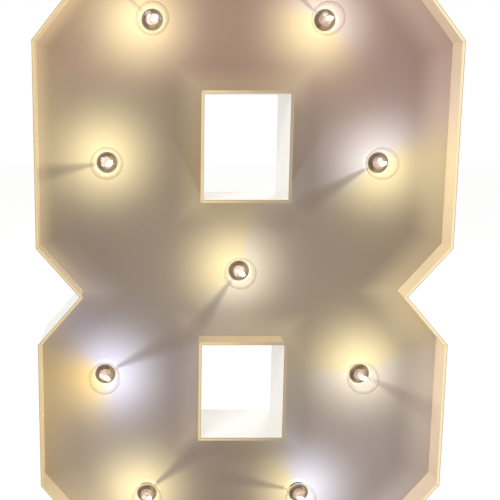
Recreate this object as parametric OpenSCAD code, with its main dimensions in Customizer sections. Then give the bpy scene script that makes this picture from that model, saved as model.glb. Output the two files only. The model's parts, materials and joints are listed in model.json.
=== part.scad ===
// Marquee number: an illuminated figure eight, folded from white sheet metal, with nine screw-in bulbs.
// Millimetres, +Z up, front towards -Y. The origin is the middle of the underside that it stands on.

/* [Numeral] */
// Overall width
sign_w = 580; // [520:1:660]
// Height of each horizontal bar: foot, middle and crown
bar_h = 206; // [180:1:240]
// Height of the waist corners above the base
waist_z = 413; // [390:1:435]
// Height of the waist notch along the side
notch_h = 138; // [110:1:160]
// Depth of the waist notch
notch_d = 60; // [40:1:80]
// Width of the corner chamfers
chamfer_w = 110; // [90:1:125]
// Height of the chamfers at the foot
foot_chamfer_h = 133; // [110:1:150]
// Height of the chamfers at the crown
crown_chamfer_h = 136; // [110:1:150]

/* [Windows] */
// Width of both windows
window_w = 117; // [90:1:140]
// Height of the lower window
lower_window_h = 138; // [110:1:160]
// Height of the upper window
upper_window_h = 144; // [110:1:170]

/* [Sheet metal] */
// Depth of the folded body over the rear cover
body_d = 120; // [110:1:150]
// Depth of the open channel in front of the face panel
channel_d = 45; // [36:1:55]
// Thickness of the folded sheet
sheet_t = 1.2; // [0.8:0.1:2]
// Thickness of the rear cover
cover_t = 1.5; // [1:0.1:2.5]
// Width of the front lip over the sheet
lip_w = 4; // [3.5:0.1:8]
// Width of the rear flange that takes the cover screws
rear_flange_w = 14; // [12:0.5:18]
// Depth of the flange folded back round the face panel
panel_flange_d = 12; // [8:0.5:16]
// Width of the slits that part the lips at each corner
lip_slit = 0.9; // [0.5:0.1:1.5]
// Gap at the seams between the two return strips
seam_gap = 0.4; // [0.2:0.1:1]
// Gap between welded sheets
weld_gap = 0.05; // [0.02:0.01:0.1]
// How far the rear cover's edge stays inside the returns
cover_inset = 1; // [0.5:0.1:2]
// Half length of each waist splice plate, along the height
splice_half_h = 24; // [16:1:30]

/* [Bulb places] */
// Foot row: height over the middle of the foot bar
foot_row_rise = 1; // [-10:1:10]
// Lower row: height over the middle of the lower window
lower_row_rise = 15; // [-20:1:25]
// Centre bulb: height over the middle of the middle bar
centre_rise = -3; // [-10:1:10]
// Upper row: height over the middle of the upper window
upper_row_rise = -23; // [-30:1:20]
// Crown row: height over the middle of the crown bar
crown_row_rise = -3; // [-10:1:10]
// Foot row: left bulb in from the end of the base
foot_left_in = 44; // [35:1:60]
// Foot row: right bulb in from the end of the base
foot_right_in = 88; // [60:1:95]
// Lower row: left bulb in from the side
lower_left_in = 93; // [70:1:120]
// Lower row: right bulb in from the side
lower_right_in = 114; // [70:1:125]
// Centre bulb: shift to the right
centre_shift = -4; // [-15:1:15]
// Upper row: left bulb in from the side
upper_left_in = 98; // [70:1:120]
// Upper row: right bulb in from the side
upper_right_in = 100; // [70:1:120]
// Crown row: left bulb in from the end of the crown
crown_left_in = 51; // [35:1:70]
// Crown row: right bulb in from the end of the crown
crown_right_in = 72; // [50:1:90]

/* [Bulb] */
// Radius of the glass globe
globe_r = 23; // [20:0.5:25]
// Radius of the screw cap, and of the glass neck above it
cap_r = 13; // [12:0.1:13.5]
// Length of the screw cap's metal shell
cap_len = 22; // [18:0.5:26]
// Wall of the glass and of the cap's shell
bulb_wall = 0.8; // [0.6:0.1:1.2]
// Length of the glass neck above the cap's rim
neck_len = 3.2; // [2:0.1:8]
// How far the neck's glass spreads before it meets the globe
neck_spread = 2; // [1:0.1:3]
// Height of the glass cone between neck and globe
neck_cone_h = 4.5; // [3.5:0.1:6]
// Height of the cap's insulating cone
insulator_h = 4; // [3:0.5:6]
// Radius of the cap's end contact
tip_r = 5; // [4:0.5:6]
// Height of the cap's end contact
tip_h = 1.5; // [1:0.1:2.5]
// Half the length of the coiled filament
filament_half = 6.5; // [4:0.5:9]
// Outer radius of the coiled filament
filament_r = 2.6; // [1.5:0.1:3]
// Radius of the wires that hold the filament
mount_wire_r = 0.5; // [0.3:0.1:0.8]
// Radius of the glass stem
stem_r = 4; // [3:0.5:5]
// Radius of the front of the heat shield in the neck
shield_r = 9; // [7:0.5:10]
// Height of the heat shield above the cap's rim
shield_h = 9; // [6:0.5:11]

/* [Lampholder] */
// Radius of the sleeve that stands through the face panel
sleeve_r = 17; // [16.5:0.1:18.5]
// How far the sleeve stands out of the face panel
sleeve_out = 3.5; // [2.5:0.1:6]
// Clearance round the sleeve in the panel and the ring nut
sleeve_gap = 0.3; // [0.15:0.05:0.5]
// Width of the ring nut, from its thread to its rim
ring_w = 3.4; // [2.5:0.1:5]
// Thickness of the ring nut
ring_t = 2.8; // [2:0.1:4]
// Radius of the shoulder behind the face panel
shoulder_r = 21.5; // [20:0.5:24]
// Thickness of the shoulder
shoulder_t = 3; // [2:0.5:5]
// Radius of the body behind the shoulder
holder_r = 18.5; // [17.5:0.5:19.5]
// Radius of the wiring end
holder_rear_r = 14.5; // [12:0.5:16]
// Length of the solid wiring end behind the socket
holder_rear_len = 14; // [10:0.5:18]
// Clearance round the screw cap in the threaded shell
thread_gap = 0.3; // [0.2:0.05:0.5]
// Wall of the threaded shell
shell_wall = 0.6; // [0.4:0.1:1]
// Length of the threaded shell
shell_len = 20; // [16:0.5:22]
// Height of the centre contact on the socket's floor
contact_h = 2; // [1.5:0.5:3]
// Gap between the centre contact and the bulb's end contact
contact_gap = 0.3; // [0.2:0.05:0.5]

/* [Rear fittings] */
// Screw shank radius
screw_r = 1.6; // [1.2:0.1:2]
// Screw head radius
screw_head_r = 3.6; // [3:0.1:5]
// Screw head height
screw_head_h = 2; // [1.5:0.1:3]
// Screw length under the head
screw_len = 8; // [6:0.5:12]
// Clearance round the screws in cover and flange
screw_gap = 0.2; // [0.1:0.05:0.4]
// Switch: place across the back
switch_x = -70; // [-85:1:-60]
// Switch and gland: height above the base
service_z = 70; // [60:1:80]
// Switch: width of the housing
switch_w = 13.4; // [13:0.1:16]
// Switch: depth of the housing behind the cover's outer face
switch_d = 17; // [14:0.5:20]
// Switch: how far the bezel stands out round the housing
bezel_w = 1.8; // [1.2:0.1:3]
// Switch: thickness of the bezel
bezel_t = 2; // [1:0.1:2.5]
// Switch: clearance of the housing in the cover's cut-out
switch_gap = 0.2; // [0.1:0.05:0.4]
// Rocker: length
rocker_l = 16; // [14:0.5:18]
// Rocker: width
rocker_w = 10.2; // [8:0.1:10.6]
// Rocker: height of its ends above the pivot
rocker_end_h = 5; // [4:0.1:6]
// Rocker: height of its middle above the pivot
rocker_mid_h = 3.5; // [2.5:0.1:4]
// Rocker: tilt to each side
rocker_tilt = 12; // [8:1:14]
// Rocker: radius of the pivot pins
rocker_pin_r = 1.2; // [1:0.1:1.5]
// Rocker: running clearance of the pins
rocker_pin_gap = 0.05; // [0.02:0.01:0.1]
// Rocker: clearance in the housing
rocker_gap = 0.35; // [0.3:0.05:0.5]
// Gland: place across the back
gland_x = 10; // [0:1:20]
// Gland: radius of the way for the cord
gland_bore_r = 4.2; // [3:0.1:5]
// Gland: radius of the thread through the cover
gland_thread_r = 8; // [7:0.5:9]
// Gland: radius of the hexagons over their corners
gland_hex_r = 11; // [10:0.5:13]
// Gland: thickness of the outer hexagon
gland_hex_t = 6; // [4:0.5:8]
// Gland: length of the thread inside the cover
gland_inner_len = 10; // [8:0.5:14]
// Gland: thickness of the lock nut
gland_nut_t = 5; // [4:0.5:6]
// Gland: length of the collar that the cap screws on
gland_collar_len = 8; // [6:0.5:10]
// Gland: clearance of threads
gland_gap = 0.2; // [0.1:0.05:0.4]

/* [Wiring] */
// Radius of the sheathed cable between the lampholders
cable_r = 2.6; // [2:0.1:3]
// Radius of the single leads
lead_r = 1.4; // [1:0.1:1.8]
// Radius of bends in cables and leads, along their middle
bend_r = 6; // [5:0.5:8]
// Cable entries: distance from a lampholder's axis
entry_r = 6.5; // [6:0.1:8]
// How far behind the lampholders the cables run
cable_back = 12; // [10:0.5:14]
// Terminal block: place across the body
block_x = -30; // [-40:1:-20]
// Terminal block: distance of its front face behind the body's middle
block_y = 9; // [8:0.5:14]
// Terminal block: distance between the poles
pole_step = 10; // [8:0.5:12]
// Terminal block: depth
block_d = 22; // [18:0.5:26]
// Terminal block: height
block_h = 18; // [14:0.5:22]
// Earth stud: place across the body
stud_x = 14; // [8:1:20]
// Earth stud: height above the base
stud_z = 62; // [56:1:70]
// Earth stud: radius
stud_r = 2; // [1.5:0.1:3]
// Earth stud: length
stud_len = 14; // [10:0.5:18]

/* [Hidden] */
$fn = 64;
half_w = sign_w / 2;
base_half = half_w - chamfer_w;
lower_window_z = bar_h;
middle_bar_z = lower_window_z + lower_window_h;
upper_window_z = middle_bar_z + bar_h;
crown_z = upper_window_z + upper_window_h;
sign_h = crown_z + bar_h;

y_front = -body_d / 2;
y_back = body_d / 2;
y_rear = y_back - cover_t;
y_panel = y_front + channel_d;
y_panel_back = y_panel + sheet_t;

// How far a cutter goes past the faces that it opens, and a piece into the one that it is fused to
cut_lap = 1;

// Turns of the nine filaments about their bulbs' axes
filament_turns = [60, 160, 150, 170, 145, 40, 5, 35, 0];

screw_slot_w = 1;
screw_slot_d = 0.9;
splice_margin = 4;

// Screws go at the middle of edges over short_edge, and at two places on edges over long_edge
short_edge = 120;
long_edge = 250;

sheet_colour = "WhiteSmoke";
shade_colour = "Gainsboro";
plastic_colour = "White";
dark_colour = "DimGray";
metal_colour = "Silver";
brass_colour = "Goldenrod";
glass_colour = [0.85, 0.93, 0.95, 0.4];
wire_colour = "White";
earth_colour = "YellowGreen";

right_side = [
    [base_half, 0],
    [half_w, foot_chamfer_h],
    [half_w, waist_z - notch_h / 2],
    [half_w - notch_d, waist_z],
    [half_w, waist_z + notch_h / 2],
    [half_w, sign_h - crown_chamfer_h],
    [base_half, sign_h]
];
outline = concat(right_side, [for (i = [len(right_side) - 1:-1:0]) [-right_side[i].x, right_side[i].y]]);

// Bulbs are numbered from the foot up, left before right, as [x, z]
foot_row_z = bar_h / 2 + foot_row_rise;
lower_row_z = lower_window_z + lower_window_h / 2 + lower_row_rise;
centre_z = middle_bar_z + bar_h / 2 + centre_rise;
upper_row_z = upper_window_z + upper_window_h / 2 + upper_row_rise;
crown_row_z = crown_z + bar_h / 2 + crown_row_rise;
bulb_places = [
    [-base_half + foot_left_in, foot_row_z],
    [base_half - foot_right_in, foot_row_z],
    [-half_w + lower_left_in, lower_row_z],
    [half_w - lower_right_in, lower_row_z],
    [centre_shift, centre_z],
    [-half_w + upper_left_in, upper_row_z],
    [half_w - upper_right_in, upper_row_z],
    [-base_half + crown_left_in, crown_row_z],
    [base_half - crown_right_in, crown_row_z]
];
bulbs = len(bulb_places);

// Cables run from holder to holder, by number
cable_runs = [[1, 0], [0, 2], [2, 4], [4, 5], [5, 7], [7, 8], [8, 6], [1, 3]];

sleeve_hole_r = sleeve_r + sleeve_gap;
ring_r = sleeve_hole_r + ring_w;
shell_r = cap_r + thread_gap;
socket_r = shell_r + shell_wall + weld_gap;
shell_inset = 1.5;
socket_depth = cap_len + insulator_h + tip_h + contact_gap + contact_h;
holder_len = socket_depth + holder_rear_len;
holder_chamfer = 0.8;
holder_taper = 4;
y_holder_rear = y_panel - sleeve_out + holder_len;
y_cable = y_holder_rear + cable_back;

neck_r = cap_r;
neck_lap = 1;
cone_meets_globe = sqrt(pow(globe_r, 2) - pow(neck_r + neck_spread, 2));
globe_to_rim = cone_meets_globe + neck_cone_h + neck_len;
flare_t = 1.6;
stem_head_gap = 8;
stem_len = globe_to_rim - stem_head_gap;
exhaust_r = 2;
exhaust_len = 12;

pocket_half = norm([rocker_l / 2, rocker_end_h]) + rocker_gap;
pocket_w = rocker_w + 2 * rocker_gap;
pocket_d = 5.4;
switch_wall = 1.2;
pin_end_wall = 0.3;
pin_hold = 0.5;
switch_half_l = pocket_half + switch_wall;
rocker_root = [-4, 2.5];
rocker_skirt = -1.5;
tab_w = 4.8;
tab_t = 0.8;
tab_len = 8;
tab_rise = 5;
y_tab_end = y_back - switch_d - tab_len;

gland_collar_step = 1;
gland_collar_r = gland_thread_r - gland_collar_step;
gland_len = cover_t + gland_inner_len + gland_hex_t + gland_collar_len;
gland_crown_h = 3;
gland_cap_wall = 1.4;

poles = 4;
block_end = 3;
pole_z = sheet_t + block_h / 2;
block_w = poles * pole_step + 2 * block_end;
well_r = 2.2;
well_d = 6;
lead_front = 9;
y_lead = block_y - lead_front;
feed_back = 7;
y_feed = y_cable + feed_back;
tag_t = 1;
tag_reach = 8;
nut_h = 3;

function unit(v) = v / norm(v);
function inward(a, b) = unit([a.y - b.y, b.x - a.x]);
function before(points, i) = points[(i + len(points) - 1) % len(points)];
function after(points, i) = points[(i + 1) % len(points)];

// Outline moved inwards by d, with sharp corners
function inset(points, d) = [
    for (i = [0:len(points) - 1])
        let (n1 = inward(before(points, i), points[i]), n2 = inward(points[i], after(points, i)))
        points[i] + d * (n1 + n2) / (1 + n1 * n2)
];

// Rectangle of a window, grown by d on every side
function window_rect(z, h, d) = [
    [-window_w / 2 - d, z - d],
    [window_w / 2 + d, z - d],
    [window_w / 2 + d, z + h + d],
    [-window_w / 2 - d, z + h + d]
];

// Screw places along one edge of the rear flange
function edge_screws(a, b) =
    let (length = norm(b - a))
    length > long_edge ? [a + (b - a) / 4, a + (b - a) * 3 / 4] : length > short_edge ? [(a + b) / 2] : [];

flange_line = inset(outline, rear_flange_w / 2);
outer_screws = [
    for (i = [0:len(flange_line) - 1]) each edge_screws(flange_line[i], after(flange_line, i))
];
window_screw_x = window_w / 2 + rear_flange_w / 2;
window_screws = [
    for (z = [lower_window_z + lower_window_h / 2, upper_window_z + upper_window_h / 2], side = [-1, 1])
        [side * window_screw_x, z]
];
screw_places = concat(outer_screws, window_screws);

// Flat shape in X and Z, made solid from y0 back to y1
module slab(y0, y1) {
    translate([0, y1, 0]) rotate([90, 0, 0]) linear_extrude(y1 - y0) children();
}

// Children stand on the face panel at a bulb's place, with their own Z pointing forwards
module at_bulb(i) {
    translate([bulb_places[i].x, y_panel, bulb_places[i].y]) rotate([90, 0, 0]) children();
}

// Children stand on the rear cover's outer face, with their own Z pointing backwards
module at_back(x, z) {
    translate([x, y_back, z]) rotate([-90, 0, 0]) children();
}

module band(points, d0, d1) {
    difference() {
        polygon(inset(points, d0));
        polygon(inset(points, d1));
    }
}

// Thin cuts along the corner bisectors of a folded edge
module corner_slits(points, width, out) {
    for (i = [0:len(points) - 1]) {
        n1 = inward(before(points, i), points[i]);
        n2 = inward(points[i], after(points, i));
        turn = atan2((n1 + n2).y, (n1 + n2).x);
        translate(points[i]) rotate(out ? turn + 180 : turn)
            translate([1.5 * sheet_t, -lip_slit / 2]) square([2 * width, lip_slit]);
    }
}

// Half plane above or below the waist, leaving room for the seam
module lobe(upper) {
    translate([-sign_w, upper ? waist_z + seam_gap / 2 : waist_z - seam_gap / 2 - sign_h])
        square([2 * sign_w, sign_h]);
}

module screw_holes(places) {
    for (p = places) translate(p) circle(screw_r + screw_gap);
}

module return_strip(upper) {
    slab(y_front, y_rear) intersection() {
        band(outline, 0, sheet_t);
        lobe(upper);
    }
    slab(y_front, y_front + sheet_t) difference() {
        intersection() {
            band(outline, 0, lip_w);
            lobe(upper);
        }
        corner_slits(outline, lip_w, false);
    }
    slab(y_rear - sheet_t, y_rear) difference() {
        intersection() {
            band(outline, 0, rear_flange_w);
            lobe(upper);
        }
        corner_slits(outline, rear_flange_w, false);
        screw_holes(outer_screws);
    }
}

module window_frame(z, h, d0, d1) {
    difference() {
        polygon(window_rect(z, h, d1));
        polygon(window_rect(z, h, d0));
    }
}

module window_return(z, h) {
    slab(y_front, y_rear) window_frame(z, h, 0, sheet_t);
    slab(y_front, y_front + sheet_t) difference() {
        window_frame(z, h, 0, lip_w);
        corner_slits(window_rect(z, h, 0), lip_w, true);
    }
    slab(y_rear - sheet_t, y_rear) difference() {
        window_frame(z, h, 0, rear_flange_w);
        corner_slits(window_rect(z, h, 0), rear_flange_w, true);
        screw_holes(window_screws);
    }
}

module face_panel() {
    edge = sheet_t + weld_gap;
    color(sheet_colour) {
        slab(y_panel, y_panel_back) difference() {
            polygon(inset(outline, edge));
            polygon(window_rect(lower_window_z, lower_window_h, edge));
            polygon(window_rect(upper_window_z, upper_window_h, edge));
            for (p = bulb_places) translate(p) circle(sleeve_hole_r);
        }
        slab(y_panel, y_panel + panel_flange_d) {
            band(outline, edge, edge + sheet_t);
            window_frame(lower_window_z, lower_window_h, edge, edge + sheet_t);
            window_frame(upper_window_z, upper_window_h, edge, edge + sheet_t);
        }
    }
}

module return_upper() {
    color(sheet_colour) return_strip(true);
}

module return_lower() {
    color(sheet_colour) return_strip(false);
}

module window_return_upper() {
    color(sheet_colour) window_return(upper_window_z, upper_window_h);
}

module window_return_lower() {
    color(sheet_colour) window_return(lower_window_z, lower_window_h);
}

// Angle plates inside the two seams, between the panel's flange and the rear flange
module waist_splices() {
    edge = sheet_t + weld_gap;
    color(shade_colour)
        slab(y_panel + panel_flange_d + splice_margin, y_rear - sheet_t - splice_margin) intersection() {
            band(outline, edge, edge + sheet_t);
            translate([-sign_w, waist_z - splice_half_h]) square([2 * sign_w, 2 * splice_half_h]);
        }
}

module rear_cover() {
    color(sheet_colour) slab(y_rear, y_back) difference() {
        polygon(inset(outline, cover_inset));
        polygon(window_rect(lower_window_z, lower_window_h, cover_inset));
        polygon(window_rect(upper_window_z, upper_window_h, cover_inset));
        screw_holes(screw_places);
        translate([switch_x, service_z])
            square([switch_w + 2 * switch_gap, 2 * (switch_half_l + switch_gap)], center = true);
        translate([gland_x, service_z]) circle(gland_thread_r + gland_gap);
    }
}

module cover_screws() {
    color(metal_colour) for (p = screw_places) at_back(p.x, p.y) difference() {
        union() {
            cylinder(r = screw_head_r, h = screw_head_h);
            translate([0, 0, -screw_len]) cylinder(r = screw_r, h = screw_len + screw_head_h / 2);
        }
        translate([-screw_head_r, -screw_slot_w / 2, screw_head_h - screw_slot_d])
            cube([2 * screw_head_r, screw_slot_w, screw_head_h]);
    }
}

module ring_nuts() {
    color(plastic_colour) for (i = [0:bulbs - 1]) at_bulb(i) rotate_extrude() polygon([
        [sleeve_hole_r, 0],
        [ring_r, 0],
        [ring_r, ring_t - holder_chamfer],
        [ring_r - holder_chamfer, ring_t],
        [sleeve_hole_r, ring_t]
    ]);
}

module lampholder(i) {
    body_z = -sheet_t - shoulder_t;
    taper_z = sleeve_out - socket_depth;
    color(plastic_colour) at_bulb(i) rotate_extrude() polygon([
        [socket_r, sleeve_out],
        [sleeve_r - holder_chamfer, sleeve_out],
        [sleeve_r, sleeve_out - holder_chamfer],
        [sleeve_r, -sheet_t],
        [shoulder_r, -sheet_t],
        [shoulder_r, body_z],
        [holder_r, body_z],
        [holder_r, taper_z],
        [holder_rear_r, taper_z - holder_taper],
        [holder_rear_r, sleeve_out - holder_len],
        [0, sleeve_out - holder_len],
        [0, sleeve_out - socket_depth],
        [socket_r, sleeve_out - socket_depth]
    ]);
}

module socket_shells() {
    color(brass_colour) for (i = [0:bulbs - 1]) at_bulb(i)
        translate([0, 0, sleeve_out - shell_inset - shell_len]) difference() {
            cylinder(r = shell_r + shell_wall, h = shell_len);
            translate([0, 0, -cut_lap]) cylinder(r = shell_r, h = shell_len + 2 * cut_lap);
        }
}

module socket_contacts() {
    color(brass_colour) for (i = [0:bulbs - 1]) at_bulb(i)
        translate([0, 0, sleeve_out - socket_depth]) cylinder(r = tip_r, h = contact_h);
}

// Globe, cone and neck as one form, each reaching a little into the next, drawn in by a distance
module glass_form(inset_by, below) {
    r = neck_r - inset_by;
    slope = neck_spread / neck_cone_h;
    translate([0, 0, -below]) cylinder(r = r, h = globe_to_rim + below);
    translate([0, 0, neck_len - neck_lap])
        cylinder(r1 = r - slope * neck_lap, r2 = r + neck_spread + slope * neck_lap,
                 h = neck_cone_h + 2 * neck_lap);
    translate([0, 0, globe_to_rim]) sphere(globe_r - inset_by);
}

module bulb_globe(i) {
    color(glass_colour) at_bulb(i) translate([0, 0, sleeve_out]) difference() {
        glass_form(0, 0);
        glass_form(bulb_wall, neck_lap);
    }
}

module bulb_cap(i) {
    floor_z = sleeve_out - cap_len;
    cone_z = floor_z - insulator_h;
    color(metal_colour) at_bulb(i) rotate_extrude() polygon([
        [cap_r - bulb_wall, sleeve_out],
        [cap_r, sleeve_out],
        [cap_r, floor_z],
        [tip_r, cone_z],
        [tip_r, cone_z - tip_h],
        [0, cone_z - tip_h],
        [0, floor_z],
        [cap_r - bulb_wall, floor_z]
    ]);
}

// Glass stem behind a heat shield that fills the neck, two wires and the filament across them
module bulb_mount(i) {
    flare_r = neck_r - bulb_wall - weld_gap;
    color(metal_colour) at_bulb(i) translate([0, 0, sleeve_out]) rotate(filament_turns[i]) {
        rotate_extrude() polygon([
            [0, -exhaust_len],
            [exhaust_r, -exhaust_len],
            [exhaust_r, -flare_t],
            [flare_r, -flare_t],
            [flare_r, 0],
            [shield_r, shield_h],
            [stem_r, shield_h],
            [stem_r, stem_len - stem_r],
            [stem_r / 2, stem_len],
            [0, stem_len]
        ]);
        for (side = [-1, 1]) mount_wire(side);
        translate([-filament_half, 0, globe_to_rim]) rotate([0, 90, 0])
            cylinder(r = filament_r, h = 2 * filament_half);
    }
}

// One wire, leaning out from inside the stem's head to the filament's end
module mount_wire(side) {
    root = [side * stem_r / 4, stem_len - stem_r];
    lean = [side * filament_half, globe_to_rim] - root;
    translate([root.x, 0, root.y]) rotate([0, atan2(lean.x, lean.y), 0])
        cylinder(r = mount_wire_r, h = norm(lean));
}

// Housing with a pocket for the rocker and two bores for its pins
module switch_body() {
    length = 2 * switch_half_l;
    color(dark_colour) at_back(switch_x, service_z) difference() {
        union() {
            translate([-switch_w / 2, -length / 2, -switch_d]) cube([switch_w, length, switch_d]);
            translate([-switch_w / 2 - bezel_w, -length / 2 - bezel_w, 0])
                cube([switch_w + 2 * bezel_w, length + 2 * bezel_w, bezel_t]);
        }
        translate([-pocket_w / 2, -pocket_half, -pocket_d])
            cube([pocket_w, 2 * pocket_half, pocket_d + bezel_t + cut_lap]);
        rotate([0, 90, 0])
            cylinder(r = rocker_pin_r + rocker_pin_gap, h = switch_w - 2 * pin_end_wall, center = true);
    }
}

module switch_tabs() {
    color(metal_colour) at_back(switch_x, service_z) for (side = [-1, 1])
        translate([-tab_w / 2, side * tab_rise - tab_t / 2, -switch_d - tab_len])
            cube([tab_w, tab_t, tab_len]);
}

module switch_rocker() {
    color("Black") translate([switch_x, y_back, service_z]) rotate([-rocker_tilt, 0, 0]) {
        translate([-rocker_w / 2, 0, 0]) rotate([90, 0, 90]) linear_extrude(rocker_w) polygon([
            [rocker_end_h, -rocker_l / 2],
            [rocker_mid_h, 0],
            [rocker_end_h, rocker_l / 2],
            [rocker_skirt, rocker_l / 2],
            rocker_root,
            [rocker_root.x, -rocker_root.y],
            [rocker_skirt, -rocker_l / 2]
        ]);
        rotate([0, 90, 0]) cylinder(r = rocker_pin_r, h = pocket_w + 2 * pin_hold, center = true);
    }
}

module gland_body() {
    color(dark_colour) at_back(gland_x, service_z) difference() {
        union() {
            cylinder(r = gland_hex_r, h = gland_hex_t, $fn = 6);
            translate([0, 0, -cover_t - gland_inner_len])
                cylinder(r = gland_thread_r, h = cover_t + gland_inner_len + cut_lap);
            translate([0, 0, gland_hex_t - cut_lap])
                cylinder(r = gland_collar_r, h = gland_collar_len + cut_lap);
        }
        translate([0, 0, -cover_t - gland_inner_len - cut_lap])
            cylinder(r = gland_bore_r, h = gland_len + 2 * cut_lap);
    }
}

module gland_nut() {
    color(dark_colour) at_back(gland_x, service_z) translate([0, 0, -cover_t - gland_nut_t]) difference() {
        cylinder(r = gland_hex_r, h = gland_nut_t, $fn = 6);
        translate([0, 0, -cut_lap])
            cylinder(r = gland_thread_r + gland_gap, h = gland_nut_t + 2 * cut_lap);
    }
}

// Cap over the collar, with a dome that leaves the cord's way open
module gland_cap() {
    collar_r = gland_collar_r + gland_gap;
    cap_h = gland_collar_len + gland_gap + gland_crown_h;
    hex_h = cap_h / 2;
    color(dark_colour) at_back(gland_x, service_z) translate([0, 0, gland_hex_t]) difference() {
        union() {
            cylinder(r = gland_hex_r, h = hex_h, $fn = 6);
            rotate_extrude() polygon([
                [0, hex_h - cut_lap],
                [collar_r + gland_cap_wall, hex_h - cut_lap],
                [collar_r + gland_cap_wall, cap_h - gland_crown_h],
                [gland_bore_r + gland_cap_wall, cap_h],
                [0, cap_h]
            ]);
        }
        translate([0, 0, -cut_lap]) cylinder(r = collar_r, h = cap_h - gland_crown_h + cut_lap);
        cylinder(r = gland_bore_r + gland_gap, h = cap_h + cut_lap);
    }
}

// Block on the base, with a screw well over each pole
module terminal_block() {
    color(plastic_colour) translate([block_x, block_y, sheet_t]) difference() {
        translate([-block_w / 2, 0, 0]) cube([block_w, block_d, block_h]);
        for (pole = [1:poles], row = [1, 3])
            translate([pole_x(pole) - block_x, row * block_d / 4, block_h - well_d])
                cylinder(r = well_r, h = well_d + cut_lap);
    }
}

function pole_x(pole) = block_x + (pole - (poles + 1) / 2) * pole_step;

// Tube from p to q: along Y to y_mid, across, and along Y again, with round bends
module lead(p, q, y_mid, r) {
    across = norm([q.x - p.x, q.z - p.z]);
    s1 = sign(y_mid - p.y);
    s2 = sign(q.y - y_mid);
    translate([p.x, 0, p.z]) rotate([0, -atan2(q.z - p.z, q.x - p.x), 0]) {
        lead_leg(0, p.y, y_mid - s1 * bend_r, r);
        translate([bend_r, y_mid - s1 * bend_r, 0]) rotate(s1 > 0 ? 90 : 180) lead_bend(r);
        translate([bend_r, y_mid, 0]) rotate([0, 90, 0]) cylinder(r = r, h = across - 2 * bend_r);
        translate([across - bend_r, y_mid + s2 * bend_r, 0]) rotate(s2 > 0 ? 270 : 0) lead_bend(r);
        lead_leg(across, q.y, y_mid + s2 * bend_r, r);
    }
}

module lead_leg(x, y0, y1, r) {
    translate([x, min(y0, y1), 0]) rotate([-90, 0, 0]) cylinder(r = r, h = abs(y1 - y0));
}

module lead_bend(r) {
    rotate_extrude(angle = 90) translate([bend_r, 0]) circle(r);
}

// Sheathed cables behind the holders, each from entry to entry
module holder_wiring() {
    color(wire_colour) for (run = cable_runs) {
        a = bulb_places[run[0]];
        b = bulb_places[run[1]];
        along = entry_r * unit(b - a);
        from = [a.x + along.x, y_holder_rear, a.y + along.y];
        to = [b.x - along.x, y_holder_rear, b.y - along.y];
        lead(from, to, y_cable, cable_r);
    }
}

module feed_leads() {
    first = bulb_places[1];
    entry = [first.x, y_holder_rear, first.y - entry_r];
    color(wire_colour) {
        lead([block_x, block_y + block_d, pole_z], entry, y_feed, cable_r);
        lead([pole_x(2), block_y, pole_z], [switch_x, y_tab_end, service_z + tab_rise], y_lead, lead_r);
        lead([pole_x(1), block_y, pole_z], [switch_x, y_tab_end, service_z - tab_rise], y_lead, lead_r);
    }
}

module earth_lead() {
    tag_y = y_panel_back + nut_h + tag_t;
    color(earth_colour)
        lead([pole_x(poles), block_y, pole_z], [stud_x + tag_reach, tag_y, stud_z], y_lead, lead_r);
}

// Welded stud with its nut, and a tag that takes the earth lead
module earth_stud() {
    color(brass_colour) translate([stud_x, y_panel_back, stud_z]) rotate([-90, 0, 0]) {
        cylinder(r = stud_r, h = stud_len);
        cylinder(r = 2 * stud_r, h = nut_h, $fn = 6);
        translate([0, 0, nut_h]) cylinder(r = 2 * stud_r, h = tag_t);
        translate([0, -stud_r, nut_h]) cube([tag_reach + stud_r, 2 * stud_r, tag_t]);
    }
}

face_panel();
return_upper();
return_lower();
window_return_upper();
window_return_lower();
waist_splices();
rear_cover();
cover_screws();
ring_nuts();
socket_shells();
socket_contacts();
switch_body();
switch_tabs();
switch_rocker();
gland_body();
gland_nut();
gland_cap();
terminal_block();
holder_wiring();
feed_leads();
earth_lead();
earth_stud();
for (i = [0:bulbs - 1]) {
    lampholder(i);
    bulb_globe(i);
    bulb_cap(i);
    bulb_mount(i);
}
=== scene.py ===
"""Dresses a lit marquee figure eight: a folded, painted tray, nine clear globe bulbs and their fittings."""

import json
import logging
import math
from abc import ABC, abstractmethod
from dataclasses import dataclass, field
from enum import Enum

import bpy
import numpy as np
from mathutils import Matrix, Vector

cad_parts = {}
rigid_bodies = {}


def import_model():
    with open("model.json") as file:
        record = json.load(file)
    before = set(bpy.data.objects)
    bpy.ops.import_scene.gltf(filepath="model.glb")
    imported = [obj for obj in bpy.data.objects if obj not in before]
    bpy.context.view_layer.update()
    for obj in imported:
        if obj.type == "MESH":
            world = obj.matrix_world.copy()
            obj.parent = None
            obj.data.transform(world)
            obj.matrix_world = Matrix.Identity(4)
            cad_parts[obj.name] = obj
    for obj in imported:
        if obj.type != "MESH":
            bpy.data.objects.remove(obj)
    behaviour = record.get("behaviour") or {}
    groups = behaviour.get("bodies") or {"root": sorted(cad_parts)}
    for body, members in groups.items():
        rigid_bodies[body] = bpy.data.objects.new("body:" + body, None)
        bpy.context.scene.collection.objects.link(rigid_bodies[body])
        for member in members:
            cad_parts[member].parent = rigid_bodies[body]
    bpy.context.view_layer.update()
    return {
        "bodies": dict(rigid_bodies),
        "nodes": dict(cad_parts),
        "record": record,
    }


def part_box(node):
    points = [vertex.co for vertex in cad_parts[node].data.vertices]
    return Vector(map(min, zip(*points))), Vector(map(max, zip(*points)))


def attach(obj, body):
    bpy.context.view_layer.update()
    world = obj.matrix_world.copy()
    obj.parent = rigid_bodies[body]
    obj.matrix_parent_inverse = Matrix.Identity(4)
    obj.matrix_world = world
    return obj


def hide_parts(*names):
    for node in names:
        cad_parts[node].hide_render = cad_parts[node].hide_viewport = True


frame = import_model()

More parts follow.
